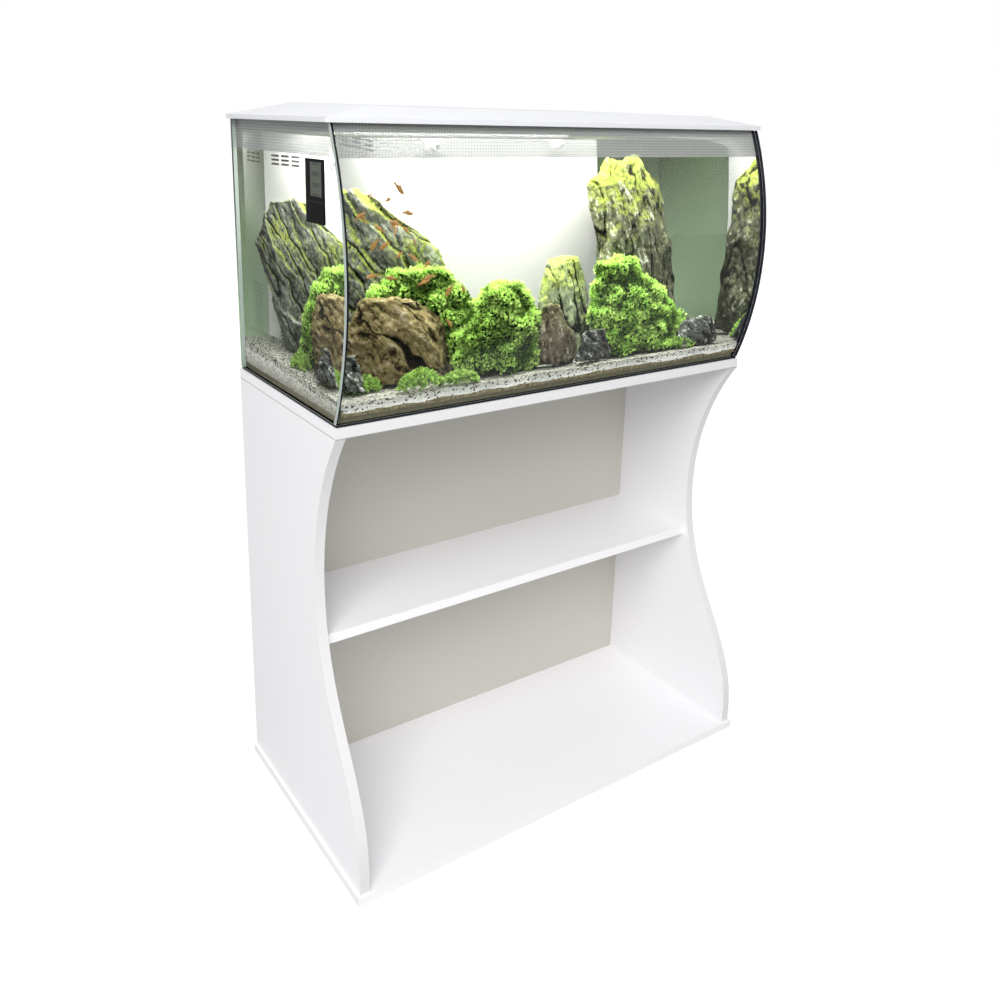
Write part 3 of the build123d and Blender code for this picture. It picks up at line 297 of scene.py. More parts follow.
# Foam mat and silicone
# A black foam mat under the tank and black silicone, cast in place, in the
# corners. The seam round the bottom pane is silicone too, stained by the sand.
black_soft = Look("black_soft")
black_silicone = black_soft.plain(
    {
        "Base Color": (0.008, 0.009, 0.016, 1),
        "Roughness": 0.5 + 0.2 * black_soft.grain(black_soft.place(), 700.0),
        "Specular IOR Level": 0.2,
    }
)
dress(black_silicone, "base_mat", "pump_feet", "cable_gland", "thermometer_pad")
stained = Look("stained_silicone")
stain = stained.grain(stained.place(), 160.0)
stained_silicone = stained.plain(
    {
        "Base Color": stained.mix(stain, (0.14, 0.125, 0.08, 1), (0.36, 0.33, 0.23, 1)),
        "Roughness": 0.6,
    }
)
dress(stained_silicone, "bottom_seam")
glass_low, glass_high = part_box("front_glass")
glass_middle_z = (glass_low.z + glass_high.z) / 2
glass_half = (glass_high.z - glass_low.z) / 2
glass_edge_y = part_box("base_mat")[0].y - 0.001
bow = glass_edge_y - glass_low.y
bow_radius = (glass_half * glass_half + bow * bow) / (2 * bow)


def pane_y(z, depth):
    """Y of a bowed surface that lies a depth behind the face of the front pane."""
    centre_y = glass_low.y + bow_radius
    return centre_y - math.sqrt((bow_radius - depth) ** 2 - (z - glass_middle_z) ** 2)


def bowed_bar(work, x_low, x_high, z_low, z_high, depth, thickness, steps):
    """An upright bar that follows the bow of the front pane."""
    rings = []
    for step in range(steps + 1):
        z = z_low + (z_high - z_low) * step / steps
        near = pane_y(z, depth)
        far = near + thickness
        corners = ((x_low, near, z), (x_high, near, z), (x_high, far, z), (x_low, far, z))
        rings.append([work.verts.new(corner) for corner in corners])
    for a, b in zip(rings, rings[1:]):
        for k in range(4):
            work.faces.new((a[k], a[(k + 1) % 4], b[(k + 1) % 4], b[k]))
    work.faces.new(rings[0][::-1])
    work.faces.new(rings[-1])


seam_low, seam_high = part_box("corner_seams")
seam_end_gap = 0.001
seam_foot = seam_low.z + seam_end_gap
seam_head = seam_high.z - seam_end_gap
seam_depth = 0.0062
seam_thickness = 0.0006
seam_steps = 40
seam_width = 0.006
seam_bead = 0.0025
work = bmesh.new()
for x_low, x_high in (
    (seam_low.x + seam_bead, seam_low.x + seam_width),
    (seam_high.x - seam_width - seam_bead, seam_high.x),
):
    bowed_bar(work, x_low, x_high, seam_foot, seam_head, seam_depth, seam_thickness, seam_steps)
bmesh.ops.recalc_face_normals(work, faces=work.faces)
corner_silicone = piece_from(
    "corner_silicone", work, black_silicone, "stand_and_tank", ["corner_seams"]
)


# Panes
# Clear float glass with ground edges, bonded with silicone; the front pane is
# bent to a bow. The panes reflect a little and show pale green at their edges.
def pane_look(name, edge_x, edge_y, edge_z):
    """Thin clear glass; its edges face the given axes and are black against the right seam."""
    right_seam_x = 0.39
    look = Look(name)
    x, y, z = look.normal()
    edge = (abs(x) * edge_x + abs(y) * edge_y + abs(z) * edge_z) > 0.62
    sight = look.clear((0.985, 0.995, 0.99, 1))
    shade = look.clear((0.8, 0.81, 0.8, 1))
    rays = look.node("ShaderNodeLightPath", {}, {}, "Is Shadow Ray")
    through = look.blend(rays + rays.out("Is Diffuse Ray"), sight, shade)
    gloss = look.node("ShaderNodeBsdfGlossy", {}, {"Color": (1, 1, 1, 1), "Roughness": 0.02})
    fresnel = look.node("ShaderNodeFresnel", {}, {"IOR": 1.45})
    sheet = look.blend(fresnel * 0.04, through, gloss)
    at_seam = look.split(look.place())[0] > right_seam_x
    edge_tone = look.mix(at_seam, (0.42, 0.48, 0.45, 1), (0.012, 0.014, 0.022, 1))
    ground = look.paint({"Base Color": edge_tone, "Roughness": 0.35})
    return look.done(look.blend(edge, sheet, ground))


dress(pane_look("front_pane", 1.0, 0.0, 1.0), "front_glass")
dress(pane_look("side_panes", 0.0, 1.0, 1.0), "left_glass", "right_glass")
dress(pane_look("bottom_pane", 1.0, 1.0, 0.0), "bottom_glass")
# The inner face of the green film is painted near black at the top, turning to its green lower
# down: painted shade.
film_dark_z = 1.14
film_fade = 0.3
sage = Look("sage_pane")
height = sage.split(sage.place())[2]
lit_below = ((film_dark_z - height) / film_fade).clamp()
inner_face_shaded = sage.mix(lit_below * lit_below, (0.03, 0.042, 0.016, 1), (0.36, 0.5, 0.32, 1))
outside = sage.normal()[1] > 0.5
film = sage.paint(
    {
        "Base Color": sage.mix(outside, inner_face_shaded, (0.24, 0.32, 0.21, 1)),
        "Roughness": 0.5 + 0.05 * sage.grain(sage.place(), 30.0),
        "Specular IOR Level": 0.04,
    }
)
mirror = sage.node(
    "ShaderNodeBsdfGlossy", {}, {"Color": (0.8, 0.86, 0.8, 1), "Roughness": 0.02}
)
slant = sage.node("ShaderNodeLayerWeight", {}, {"Blend": 0.5}, "Facing")
dress(sage.done(sage.blend((slant - 0.55).clamp(), film, mirror)), "back_glass")


# Dot band
# A film of fine pale dots in staggered rows, stuck inside the top of the front
# and side panes, where it hides the water line and the light.
dot_pitch = 0.0048
dot_row_pitch = dot_pitch * 0.866
dot_reach = 0.105
film_share = 0.24
dot_share = 0.28
band = Look("dot_band")
x, y, z = band.split(band.place())
column = (x + y) / dot_pitch
row = z / dot_row_pitch
odd = band.maths("FLOORED_MODULO", band.maths("FLOOR", row, 0.0), 2.0)
across = band.maths("FLOORED_MODULO", column + odd * 0.5, 1.0) - 0.5
up = band.maths("FLOORED_MODULO", row, 1.0) - 0.5
dot = (across * across + up * up * 0.75) < dot_reach
film = band.paint(
    {
        "Base Color": band.mix(dot, (0.95, 0.95, 0.95, 1), (0.66, 0.66, 0.66, 1)),
        "Roughness": 0.4,
    }
)
see_through = band.clear((0.7, 0.7, 0.7, 1))
dress(band.done(band.blend(film_share + dot_share * dot, see_through, film)), "dot_band")


# Filter housing
# A white moulded box along the back glass with slotted ends; it holds the
# dividers, the nozzle rings and the two outlet nozzles.
def moulding(name, colour, rough):
    """Moulded plastic of one colour, its gloss uneven by a trace."""
    look = Look(name)
    return look.plain(
        {"Base Color": colour, "Roughness": rough + 0.06 * look.grain(look.place(), 300.0)}
    )


housing_tone = (0.93, 0.93, 0.93, 1)
housing_rough = 0.32
housing_white = moulding("housing_white", housing_tone, housing_rough)
dress(housing_white, "nozzle_rings", "left_nozzle", "right_nozzle", "impeller", "return_pipe")
housing_low, housing_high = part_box("filter_housing")
housing_centre = (housing_low + housing_high) / 2
shell = Look("housing_shell")
x, y, z = shell.split(shell.place())
normal_x, normal_y, normal_z = shell.normal("True Normal")
# Painted shade: the end walls facing the sides are grey and the faces inside the moulding near
# black.
end_wall_shade = shell.mix(abs(normal_x) > 0.5, (0.55, 0.55, 0.55, 1), housing_tone)
inside_shade = ((housing_centre.x - x) * normal_x + (housing_centre.y - y) * normal_y) > 0.0
shell_look = shell.plain(
    {
        "Base Color": shell.mix(inside_shade, end_wall_shade, (0.12, 0.12, 0.12, 1)),
        "Roughness": housing_rough + 0.06 * shell.grain(shell.place(), 300.0),
    }
)
dress(shell_look, "filter_housing", "chamber_dividers")


# Filter media and pump
# Open foam, a bag of carbon and porous ceramic rings in a black basket; the
# pump is a sealed black motor block with a clip-on cover and a riser pipe.
black_plastic = moulding("black_plastic", (0.016, 0.016, 0.017, 1), 0.38)
dress(black_plastic, "media_basket", "pump_body", "pump_cover")
foam = Look("open_foam")
foam_cells = foam.cells(500.0)
foam_look = foam.plain(
    {
        "Base Color": foam.mix(foam_cells, (0.02, 0.03, 0.04, 1), (0.09, 0.11, 0.13, 1)),
        "Roughness": 0.95,
        "Normal": foam.bump(foam_cells, 0.8, 0.001),
    }
)
dress(foam_look, "intake_foam")
carbon = Look("carbon_bag")
grit = carbon.cells(260.0)
carbon_look = carbon.plain(
    {
        "Base Color": carbon.mix(grit, (0.008, 0.008, 0.008, 1), (0.05, 0.05, 0.05, 1)),
        "Roughness": 0.8,
        "Normal": carbon.bump(grit, 0.6, 0.002),
    }
)
dress(carbon_look, "carbon_pack")
ceramic = Look("porous_ceramic")
pores = ceramic.grain(ceramic.place(), 800.0)
ceramic_look = ceramic.plain(
    {
        "Base Color": ceramic.mix(pores, (0.62, 0.56, 0.46, 1), (0.82, 0.77, 0.68, 1)),
        "Roughness": 0.9,
        "Normal": ceramic.bump(pores, 0.5, 0.0006),
    }
)
dress(ceramic_look, "ceramic_rings", "impeller_shaft")


# Thermometer
# A black moulded case on a foam pad, stuck to the outside of the left pane,
# with a grey liquid-crystal display behind a clear window.
case_low, case_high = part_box("thermometer_case")
groove_z = case_low.z + 0.34 * (case_high.z - case_low.z)
groove_half = 0.0006
case_arris = 0.0004
case = Look("meter_case")
groove = abs(case.split(case.place())[2] - groove_z) < groove_half
case_look = case.plain(
    {
        "Base Color": case.mix(groove, (0.004, 0.004, 0.005, 1), (0.025, 0.025, 0.028, 1)),
        "Roughness": 0.5 + 0.08 * case.grain(case.place(), 600.0),
        "Specular IOR Level": 0.06,
    }
)
softened("thermometer_case", "stand_and_tank", case_look, case_arris)
display_low, display_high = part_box("thermometer_display")
display_middle = (display_low + display_high) / 2
bar_pitch = 0.0145
bar_half_width = 0.011
bar_share = 0.6
display = Look("display")
x, y, z = display.split(display.place())
bar_phase = display.maths("FLOORED_MODULO", (z - display_middle.z) / bar_pitch, 1.0)
bar_high = abs(bar_phase - 0.5) < 0.2
bar_wide = abs(y - display_middle.y) < bar_half_width
bars = bar_high * bar_wide * bar_share
display_look = display.plain(
    {
        "Base Color": display.mix(bars, (0.085, 0.095, 0.075, 1), (0.03, 0.034, 0.028, 1)),
        "Roughness": 0.4,
        "Specular IOR Level": 0.15,
    }
)
dress(display_look, "thermometer_display")


# Hood
# Two white mouldings screwed together, a rim frame and a low hipped cover,
# with a feeding flap let into the cover on two trunnions.
hood_arris = 0.0008
flap_arris = 0.0006
hood_white = moulding("hood_white", (0.72, 0.73, 0.755, 1), 0.36)
softened("hood_cover", "hood", hood_white, hood_arris)
softened("hood_frame", "hood", hood_white, hood_arris)
softened("feeding_flap", "flap", hood_white, flap_arris)


# Light bar
# A white moulded channel fixed under the cover; a board with two rows of diodes
# lies against its roof, and a clear lens plate closes it below.
dress(housing_white, "led_housing")
mask = Look("solder_mask")
mask_look = mask.plain(
    {
        "Base Color": (0.82, 0.84, 0.82, 1),
        "Roughness": 0.4 + 0.1 * mask.grain(mask.place(), 200.0),
    }
)
dress(mask_look, "led_board")
diode = Look("diode")
glow = diode.grain(diode.place(), 40.0)
diode_look = diode.plain(
    {
        "Base Color": (0.95, 0.9, 0.7, 1),
        "Emission Color": diode.mix(glow, (1.0, 0.97, 0.9, 1), (1.0, 1.0, 1.0, 1)),
        "Emission Strength": 12.0,
        "Roughness": 0.3,
    }
)
dress(diode_look, "led_diodes")
lens = Look("light_lens")
see_through = lens.clear((0.97, 0.98, 0.98, 1))
frost = lens.node("ShaderNodeEmission", {}, {"Color": (1.0, 0.99, 0.96, 1), "Strength": 6.0})
sheen = 0.5 + 0.1 * lens.grain(lens.place(), 60.0)
dress(lens.done(lens.blend(sheen, see_through, frost)), "led_lens")


# Sand bed
# Fine pale sand raked up to the back, over a darker soil layer that shows
# against the panes below a wavy line.
def remeshed(node, voxel):
    """A bmesh of a node rebuilt as an even skin of small quads."""
    work = merged(node)
    mesh = bpy.data.meshes.new(node + "_work")
    work.to_mesh(mesh)
    work.free()
    carrier = bpy.data.objects.new(node + "_work", mesh)
    bpy.context.collection.objects.link(carrier)
    skin = carrier.modifiers.new("skin", "REMESH")
    skin.mode = "VOXEL"
    skin.voxel_size = voxel
    graph = bpy.context.evaluated_depsgraph_get()
    even = bpy.data.meshes.new_from_object(carrier.evaluated_get(graph))
    result = bmesh.new()
    result.from_mesh(even)
    bpy.data.objects.remove(carrier)
    bpy.data.meshes.remove(mesh)
    bpy.data.meshes.remove(even)
    result.normal_update()
    return result


sand_low, sand_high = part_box("sand_bed")
sand_steps_x = 200
sand_steps_y = 96
sand_front_depth = 0.020
sand_back_rise = 0.021
sand_top_edge_y = sand_low.y + 0.0006
sand_foot_edge_y = sand_low.y + 0.0075
sand_left_face_x = -0.396


def sand_top(x, y):
    """Height of the sand at a place, from front to back, with small ripples."""
    share = (y - sand_low.y) / (sand_high.y - sand_low.y)
    rise = sand_low.z + sand_front_depth + share * sand_back_rise
    lumps = noise.fractal(Vector((x * 14, y * 14, 0.3)), 1.0, 2.0, 3) * 0.0035
    grains = noise.noise(Vector((x * 260, y * 260, 0.0))) * 0.0008
    return rise + lumps + grains


work = bmesh.new()
top_rows = []
under_rows = []
for step_y in range(sand_steps_y + 1):
    y = sand_top_edge_y + (sand_high.y - sand_top_edge_y) * (step_y / sand_steps_y)
    foot_y = y if step_y else sand_foot_edge_y
    top_row = []
    under_row = []
    for step_x in range(sand_steps_x + 1):
        x = sand_low.x + (sand_high.x - sand_low.x) * step_x / sand_steps_x
        top_row.append(work.verts.new((x, y, min(sand_top(x, y), sand_high.z))))
        rim = step_y in (0, sand_steps_y) or step_x in (0, sand_steps_x)
        under_row.append(work.verts.new((x, foot_y, sand_low.z)) if rim else None)
    top_rows.append(top_row)
    under_rows.append(under_row)
for a, b in zip(top_rows, top_rows[1:]):
    for p, q, r, s in zip(a, a[1:], b[1:], b):
        work.faces.new((p, q, r, s))
for index in (0, sand_steps_y):
    top_row = top_rows[index]
    under_row = under_rows[index]
    for p, q, r, s in zip(top_row, top_row[1:], under_row[1:], under_row):
        work.faces.new((q, p, s, r) if index == 0 else (p, q, r, s))
for index in (0, sand_steps_x):
    for a, b, c, d in zip(top_rows, top_rows[1:], under_rows[1:], under_rows):
        face = (a[index], b[index], c[index], d[index])
        work.faces.new(face[::-1] if index == 0 else face)
bmesh.ops.recalc_face_normals(work, faces=work.faces)
for face in work.faces:
    face.smooth = True
soil_line = 0.7575
soil_swing = 0.015
section_top = 0.786
section_depth = 0.05
sand = Look("sand")
x, y, z = sand.split(sand.place())
wave = sand.grain(sand.node("ShaderNodeCombineXYZ", {}, {0: x * 18.0, 1: y * 18.0}), 1.0)
speck = sand.split(sand.cells(340.0, "Color"))[0]
facing = sand.normal()[2]
# Painted light: faces turned aside from the top take the lighter mix and upward faces the darker
# one.
pale = sand.mix(speck, (0.30, 0.30, 0.25, 1), (0.62, 0.62, 0.55, 1))
side_painted_light = sand.mix(speck, (0.72, 0.72, 0.67, 1), (1, 1, 0.96, 1))
facing_painted_light = sand.mix(((0.7 - facing) * 1.6).clamp(), pale, side_painted_light)
flecks = sand.mix(speck > (0.94 - 0.3 * facing.clamp()), facing_painted_light, (0.07, 0.07, 0.06, 1))
brown = sand.mix(speck, (0.13, 0.115, 0.065, 1), (0.36, 0.32, 0.2, 1))
layers = sand.mix(z < (soil_line + soil_swing * wave), flecks, brown)
depth = ((section_top - z) / section_depth).clamp()
cut = sand.mix(depth, (0.88, 0.86, 0.80, 1), (0.24, 0.22, 0.165, 1))
section = sand.mix((speck > 0.7) * 0.55, cut, (0.16, 0.145, 0.115, 1))
left_face = (x < sand_left_face_x) * (facing < 0.5)
sand_look = sand.plain(
    {
        "Base Color": sand.mix(left_face, layers, section),
        "Roughness": 0.9,
        "Specular IOR Level": 0.04,
        "Normal": sand.bump(speck, 0.5, 0.001),
    }
)
piece_from("sand", work, sand_look, "stand_and_tank", ["sand_bed"])


# Stones
# Natural rock, some split along its layers and some rounded, laid on the
# sand. Each is roughened from its block with ledges, lumps and fine pits.
stone_voxel = 0.0021
stone_inset = 0.002
stone_pit = 0.0013
deepest_cut = 0.02
proudest_lump = 0.005


def rough_stone(node, look, along, across, layers, ledge, rough, lump, wear):
    """A stone carved from its worn block: stepped layers, sharp ridges, cracks, lumps and pits."""
    work = remeshed(node, stone_voxel)
    for _ in range(wear):
        bmesh.ops.smooth_vert(
            work, verts=work.verts, factor=0.5, use_axis_x=True, use_axis_y=True, use_axis_z=True
        )
    work.normal_update()
    carve_layer = work.verts.layers.float.new("carve")
    run = Vector(along).normalized()
    rise = (Vector(across) - run * run.dot(Vector(across))).normalized()
    third = run.cross(rise)
    for vert in work.verts:
        p = vert.co
        aside = noise.noise(p * 12 + Vector((7, 0, 0)))
        q = p + Vector((noise.noise(p * 12), aside, noise.noise(p * 40))) * 0.012
        drawn = Vector((q.dot(run) * layers[0], q.dot(rise) * layers[1], q.dot(third) * layers[2]))
        phase = drawn.y + 1.6 * noise.noise(Vector((drawn.x, drawn.y * 0.4, drawn.z)))
        layer = math.floor(phase)
        strength = abs(noise.noise(Vector((layer * 3.7 + 0.5, drawn.x * 0.6, 2.0)))) * 1.8
        step = (phase - layer) * min(1.0, strength)
        crest = drawn * 1.1 + Vector((3, 1, 8))
        ridges = noise.ridged_multi_fractal(crest, 0.85, 2.2, 6, 1.0, 2.0) - 1.2
        split = max(0.0, 1 - abs(noise.noise(drawn * 0.7 + Vector((0, 5, 2)))) / 0.06)
        rounding = noise.fractal(p * 14, 1.0, 2.0, 4)
        pits = noise.fractal(p * 120, 0.7, 2.1, 4)
        ledges = ledge * (step - 0.4 - 0.5 * split)
        shift = lump * rounding + ledges + rough * ridges + stone_pit * pits - stone_inset
        vert.co = p + vert.normal * max(-deepest_cut, min(shift, proudest_lump))
        # the carve depth drives the colour: painted shade in the hollows, painted highlight on the
        # crests
        carved = 0.42 + 0.36 * step + 0.24 * ridges + 0.2 * pits - 0.5 * split
        vert[carve_layer] = max(0.0, min(1.0, carved))
    for face in work.faces:
        face.smooth = True
    piece_from(node + "_rough", work, look, "stand_and_tank", [node])


def rock_look(
    name, dark, mid, pale, algae, algae_amount, algae_and_light_side, algae_from, along, across, veining_and_highlight
):
    """Rock: drawn-out tones, hollows painted black as shade, faces turned from the lit side
    painted darker, pale veining partly painted as crest highlights, and a green film on the lit
    side.
    """
    look = Look(name)
    place = look.place()
    x, y, z = look.split(place)
    warp = look.grain(place, 24.0, 4.0)
    run = x * along[0] + y * along[1] + z * along[2]
    rise = x * across[0] + y * across[1] + z * across[2] + warp * 0.03
    drawn = look.node("ShaderNodeCombineXYZ", {}, {0: run * 22.0, 1: rise * 210.0, 2: y * 60.0})
    streak = look.grain(drawn, 1.0, 6.0, 0.66)
    blotch = look.grain(place, 40.0, 6.0, 0.62)
    speck = look.grain(place, 260.0, 4.0, 0.65)
    carve = look.attribute("carve")
    # the tone is darkened with the carve depth as painted shade; streaks, blotches and specks are
    # the rock's own tones
    tone = ((carve + streak * 1.2 + blotch * 0.7 + speck * 0.7 - 1.5) * 3.0).clamp()
    base = look.mix(tone, dark, mid)
    # pale veining, partly the rock's own and partly painted highlight on the carved crests
    vein_and_highlight = ((carve * 0.8 + streak * 1.3 + speck * 0.9 - 1.62) * 5.0).clamp() * veining_and_highlight
    base = look.mix(vein_and_highlight, base, pale)
    nx, ny, nz = look.normal()
    facing = nx * algae_and_light_side[0] + ny * algae_and_light_side[1] + nz * algae_and_light_side[2]
    # painted shade: faces turned away from the lit side go darker
    base = look.mix((facing * -1.1).clamp() * 0.65, base, dark)
    height = ((z - algae_from) / 0.12).clamp()
    patch = look.grain(place, 34.0, 8.0, 0.74) * 2.2 + height * 0.6
    film = ((facing * 0.7 + patch + speck * 0.8 - 1.92) * 2.0).clamp() * algae_amount
    green = look.mix((speck * 2.0 - 0.55).clamp(), look.mix(0.7, algae, dark), algae)
    base = look.mix(film, base, green)
    # painted shade: hollows, cracks and pits go near black
    hollow_shade = ((0.26 - carve) * 5.0).clamp()
    base = look.mix(hollow_shade * 0.95, base, (0.004, 0.004, 0.003, 1))
    return look.plain(
        {
            "Base Color": base,
            "Roughness": 0.85,
            "Specular IOR Level": 0.04,
            "Normal": look.bump(streak + speck * 0.5, 0.8, 0.003),
        }
    )


slate_run = (0.66, -0.16, -0.73)
slate_rise = (0.7, -0.1, 0.7)
boulder_run = (0.75, 0.1, -0.6)
boulder_rise = (0.6, 0.1, 0.75)
upright_run = (0.35, 0.0, -0.93)
upright_rise = (0.93, 0.15, 0.35)
slate_look = rock_look(
    "slate",
    dark=(0.028, 0.03, 0.026, 1),
    mid=(0.24, 0.26, 0.21, 1),
    pale=(0.68, 0.70, 0.64, 1),
    algae=(0.44, 0.52, 0.09, 1),
    algae_amount=0.95,
    algae_and_light_side=(1.0, -0.45, 0.5),
    algae_from=0.82,
    along=slate_run,
    across=slate_rise,
    veining_and_highlight=0.8,
)
rough_stone(
    "slate_rock", slate_look, slate_run, slate_rise,
    layers=(6, 42, 15), ledge=0.009, rough=0.0016, lump=0.006, wear=6,
)
boulder_look = rock_look(
    "boulder",
    dark=(0.02, 0.014, 0.006, 1),
    mid=(0.235, 0.185, 0.085, 1),
    pale=(0.62, 0.58, 0.44, 1),
    algae=(0.26, 0.25, 0.08, 1),
    algae_amount=0.25,
    algae_and_light_side=(0, 0, 1),
    algae_from=0.82,
    along=boulder_run,
    across=boulder_rise,
    veining_and_highlight=0.6,
)
rough_stone(
    "brown_boulder", boulder_look, boulder_run, boulder_rise,
    layers=(10, 46, 16), ledge=0.006, rough=0.0022, lump=0.008, wear=30,
)
dark_look = rock_look(
    "dark_rock",
    dark=(0.008, 0.009, 0.009, 1),
    mid=(0.10, 0.105, 0.095, 1),
    pale=(0.80, 0.81, 0.77, 1),
    algae=(0.16, 0.22, 0.06, 1),
    algae_amount=0.2,
    algae_and_light_side=(0, 0, 1),
    algae_from=0.82,
    along=boulder_run,
    across=boulder_rise,
    veining_and_highlight=0.95,
)
for stone in ("corner_rock", "small_rocks"):
    rough_stone(
        stone, dark_look, boulder_run, boulder_rise,
        layers=(18, 60, 26), ledge=0.004, rough=0.002, lump=0.006, wear=16,
    )
brown_look = rock_look(
    "brown_rock",
    dark=(0.014, 0.011, 0.007, 1),
    mid=(0.16, 0.135, 0.085, 1),
    pale=(0.62, 0.6, 0.5, 1),
    algae=(0.24, 0.3, 0.07, 1),
    algae_amount=0.35,
    algae_and_light_side=(0, 0, 1),
    algae_from=0.82,
    along=upright_run,
    across=upright_rise,
    veining_and_highlight=0.7,
)
rough_stone(
    "centre_rock", brown_look, upright_run, upright_rise,
    layers=(12, 36, 20), ledge=0.004, rough=0.003, lump=0.007, wear=24,
)
grey_look = rock_look(
    "grey_rock",
    dark=(0.03, 0.036, 0.022, 1),
    mid=(0.33, 0.375, 0.25, 1),
    pale=(0.72, 0.74, 0.64, 1),
    algae=(0.52, 0.64, 0.13, 1),
    algae_amount=0.9,
    algae_and_light_side=(-0.3, -0.2, 0.8),
    algae_from=0.82,
    along=upright_run,
    across=upright_rise,
    veining_and_highlight=0.7,
)
rough_stone(
    "grey_rock", grey_look, upright_run, upright_rise,
    layers=(12, 34, 20), ledge=0.004, rough=0.003, lump=0.007, wear=60,
)
tall_look = rock_look(
    "tall_rock",
    dark=(0.006, 0.007, 0.003, 1),
    mid=(0.17, 0.18, 0.105, 1),
    pale=(0.80, 0.81, 0.70, 1),
    algae=(0.36, 0.44, 0.07, 1),
    algae_amount=0.9,
    algae_and_light_side=(-0.25, -0.1, 0.9),
    algae_from=0.93,
    along=upright_run,
    across=upright_rise,
    veining_and_highlight=0.9,
)
rough_stone(
    "monolith_rock", tall_look, upright_run, upright_rise,
    layers=(12, 30, 20), ledge=0.004, rough=0.0042, lump=0.010, wear=70,
)


# Moss
# Dense cushions of moss tied over the stones: a lumpy mat painted near black as shade
# under a crowd of small bright leaves, lighter towards their tips, painted lighter on the crowns
# and upward faces and near black where shaded.
leaf_size = 0.0058
leaf_half_width = 0.42
tuft_area = 1.9e-5
tuft_leaves = 5
mat_voxel = 0.006
mat_rise = 0.006


def leaf(work, tone_layer, root, out, size, tone, rng):
    """One small folded leaf, springing from the mat."""
    side = out.cross(Vector((rng.uniform(-1, 1), rng.uniform(-1, 1), rng.uniform(-1, 1))))
    side = side.normalized() * size * leaf_half_width
    tip = root + out * size
    mid = root + out * size * 0.55
    verts = [work.verts.new(p) for p in (root, mid + side, tip, mid - side)]
    for vert, share in zip(verts, (0.55, 1.0, 1.0, 1.0)):
        vert[tone_layer] = tone * share
    work.faces.new(verts)


def grow(work, tone_layer, place, normal, count, light, rng):
    """A tuft of leaves at a place on the mat."""
    for _ in range(count):
        spread = Vector((rng.uniform(-1, 1), rng.uniform(-1, 1), rng.uniform(-0.6, 1)))
        out = (normal + spread * 0.9).normalized()
        stray = Vector((rng.uniform(-1, 1), rng.uniform(-1, 1), rng.uniform(-1, 1)))
        root = place + stray * leaf_size * 0.5
        size = leaf_size * rng.uniform(0.7, 1.25)
        leaf(work, tone_layer, root, out, size, light * rng.uniform(0.55, 1.15), rng)


rng = random.Random(7)
mat = remeshed("moss_cushions", mat_voxel)
crown_layer = mat.verts.layers.float.new("crown")
for vert in mat.verts:
    near = noise.voronoi(vert.co * 42 + Vector((noise.noise(vert.co * 40), 0, 0)))[0][0]
    crown = max(0.0, 1 - 1.25 * near)
    lumps = crown * 0.014 - 0.010 + noise.fractal(vert.co * 20, 1.0, 2.0, 3) * 0.007
    vert[crown_layer] = crown
    vert.co = vert.co + vert.normal * min(lumps, mat_rise)
mat.normal_update()
work = bmesh.new()
tone_layer = work.verts.layers.float.new("tone")
for face in mat.faces:
    if face.normal.z < -0.5:
        continue
    share = face.calc_area() / tuft_area
    count = int(share) + (1 if rng.random() < share - int(share) else 0)
    corners = [v.co for v in face.verts]
    crown = sum(v[crown_layer] for v in face.verts) / len(face.verts)
    # painted light: leaves on the crowns and on upward faces get a higher tone
    light = 0.32 + 2.8 * crown * (0.5 + 0.5 * max(face.normal.z, 0.0))
    for _ in range(count):
        weights = [rng.random() for _ in corners]
        place = sum((c * w for c, w in zip(corners, weights)), Vector()) / sum(weights)
        grow(work, tone_layer, place, face.normal, tuft_leaves, light, rng)
sprig_z = sand_top(-0.2, sand_low.y + 0.03)
sprig_tufts = 260
sprig_leaves = 4
sprig_light = 0.9
sprigs = (
    ((-0.262, -0.128), 0.034, 0.030),
    ((-0.196, -0.136), 0.030, 0.020),
    ((-0.335, -0.075), 0.026, 0.024),
    ((0.285, -0.105), 0.034, 0.022),
    ((-0.35, 0.02), 0.03, 0.03),
)
for (x, y), reach, rise in sprigs:
    for _ in range(sprig_tufts):
        angle = rng.uniform(0, 2 * math.pi)
        share = math.sqrt(rng.random())
        lift = rise * math.sqrt(1 - share * share) * rng.uniform(0.75, 1.0)
        aside = reach * share * math.cos(angle)
        behind = reach * share * 0.7 * math.sin(angle)
        place = Vector((x + aside, y + behind, sprig_z + lift))
        out = Vector((share * math.cos(angle), share * math.sin(angle), 0.6 + lift / rise))
        grow(work, tone_layer, place, out.normalized(), sprig_leaves, sprig_light, rng)
moss = Look("moss_leaves")
tone = moss.attribute("tone")
patch = moss.grain(moss.place(), 22.0)
bright = moss.mix(patch, (0.52, 0.90, 0.14, 1), (0.84, 0.98, 0.40, 1))
lit = moss.mix(tone, (0.13, 0.42, 0.0, 1), bright)
# painted shade: leaves of low tone go near black
green = moss.mix(tone, (0.004, 0.016, 0.001, 1), lit)
leaves = moss.paint({"Base Color": green, "Roughness": 0.6, "Specular IOR Level": 0.04})
through = moss.node("ShaderNodeBsdfTranslucent", {}, {"Color": green})
leaf_look = moss.done(moss.blend(0.4, leaves, through))
piece_from("moss_leaves", work, leaf_look, "stand_and_tank", [])
under = Look("moss_mat")
shadow = under.grain(under.place(), 90.0)
# the mat is painted near black as shade in the gaps under the leaves
mat_look = under.plain(
    {
        "Base Color": under.mix(shadow, (0.002, 0.006, 0.001, 1), (0.02, 0.05, 0.006, 1)),
        "Roughness": 0.9,
        "Specular IOR Level": 0.04,
    }
)
piece_from("moss_mat", mat, mat_look, "stand_and_tank", ["moss_cushions"])


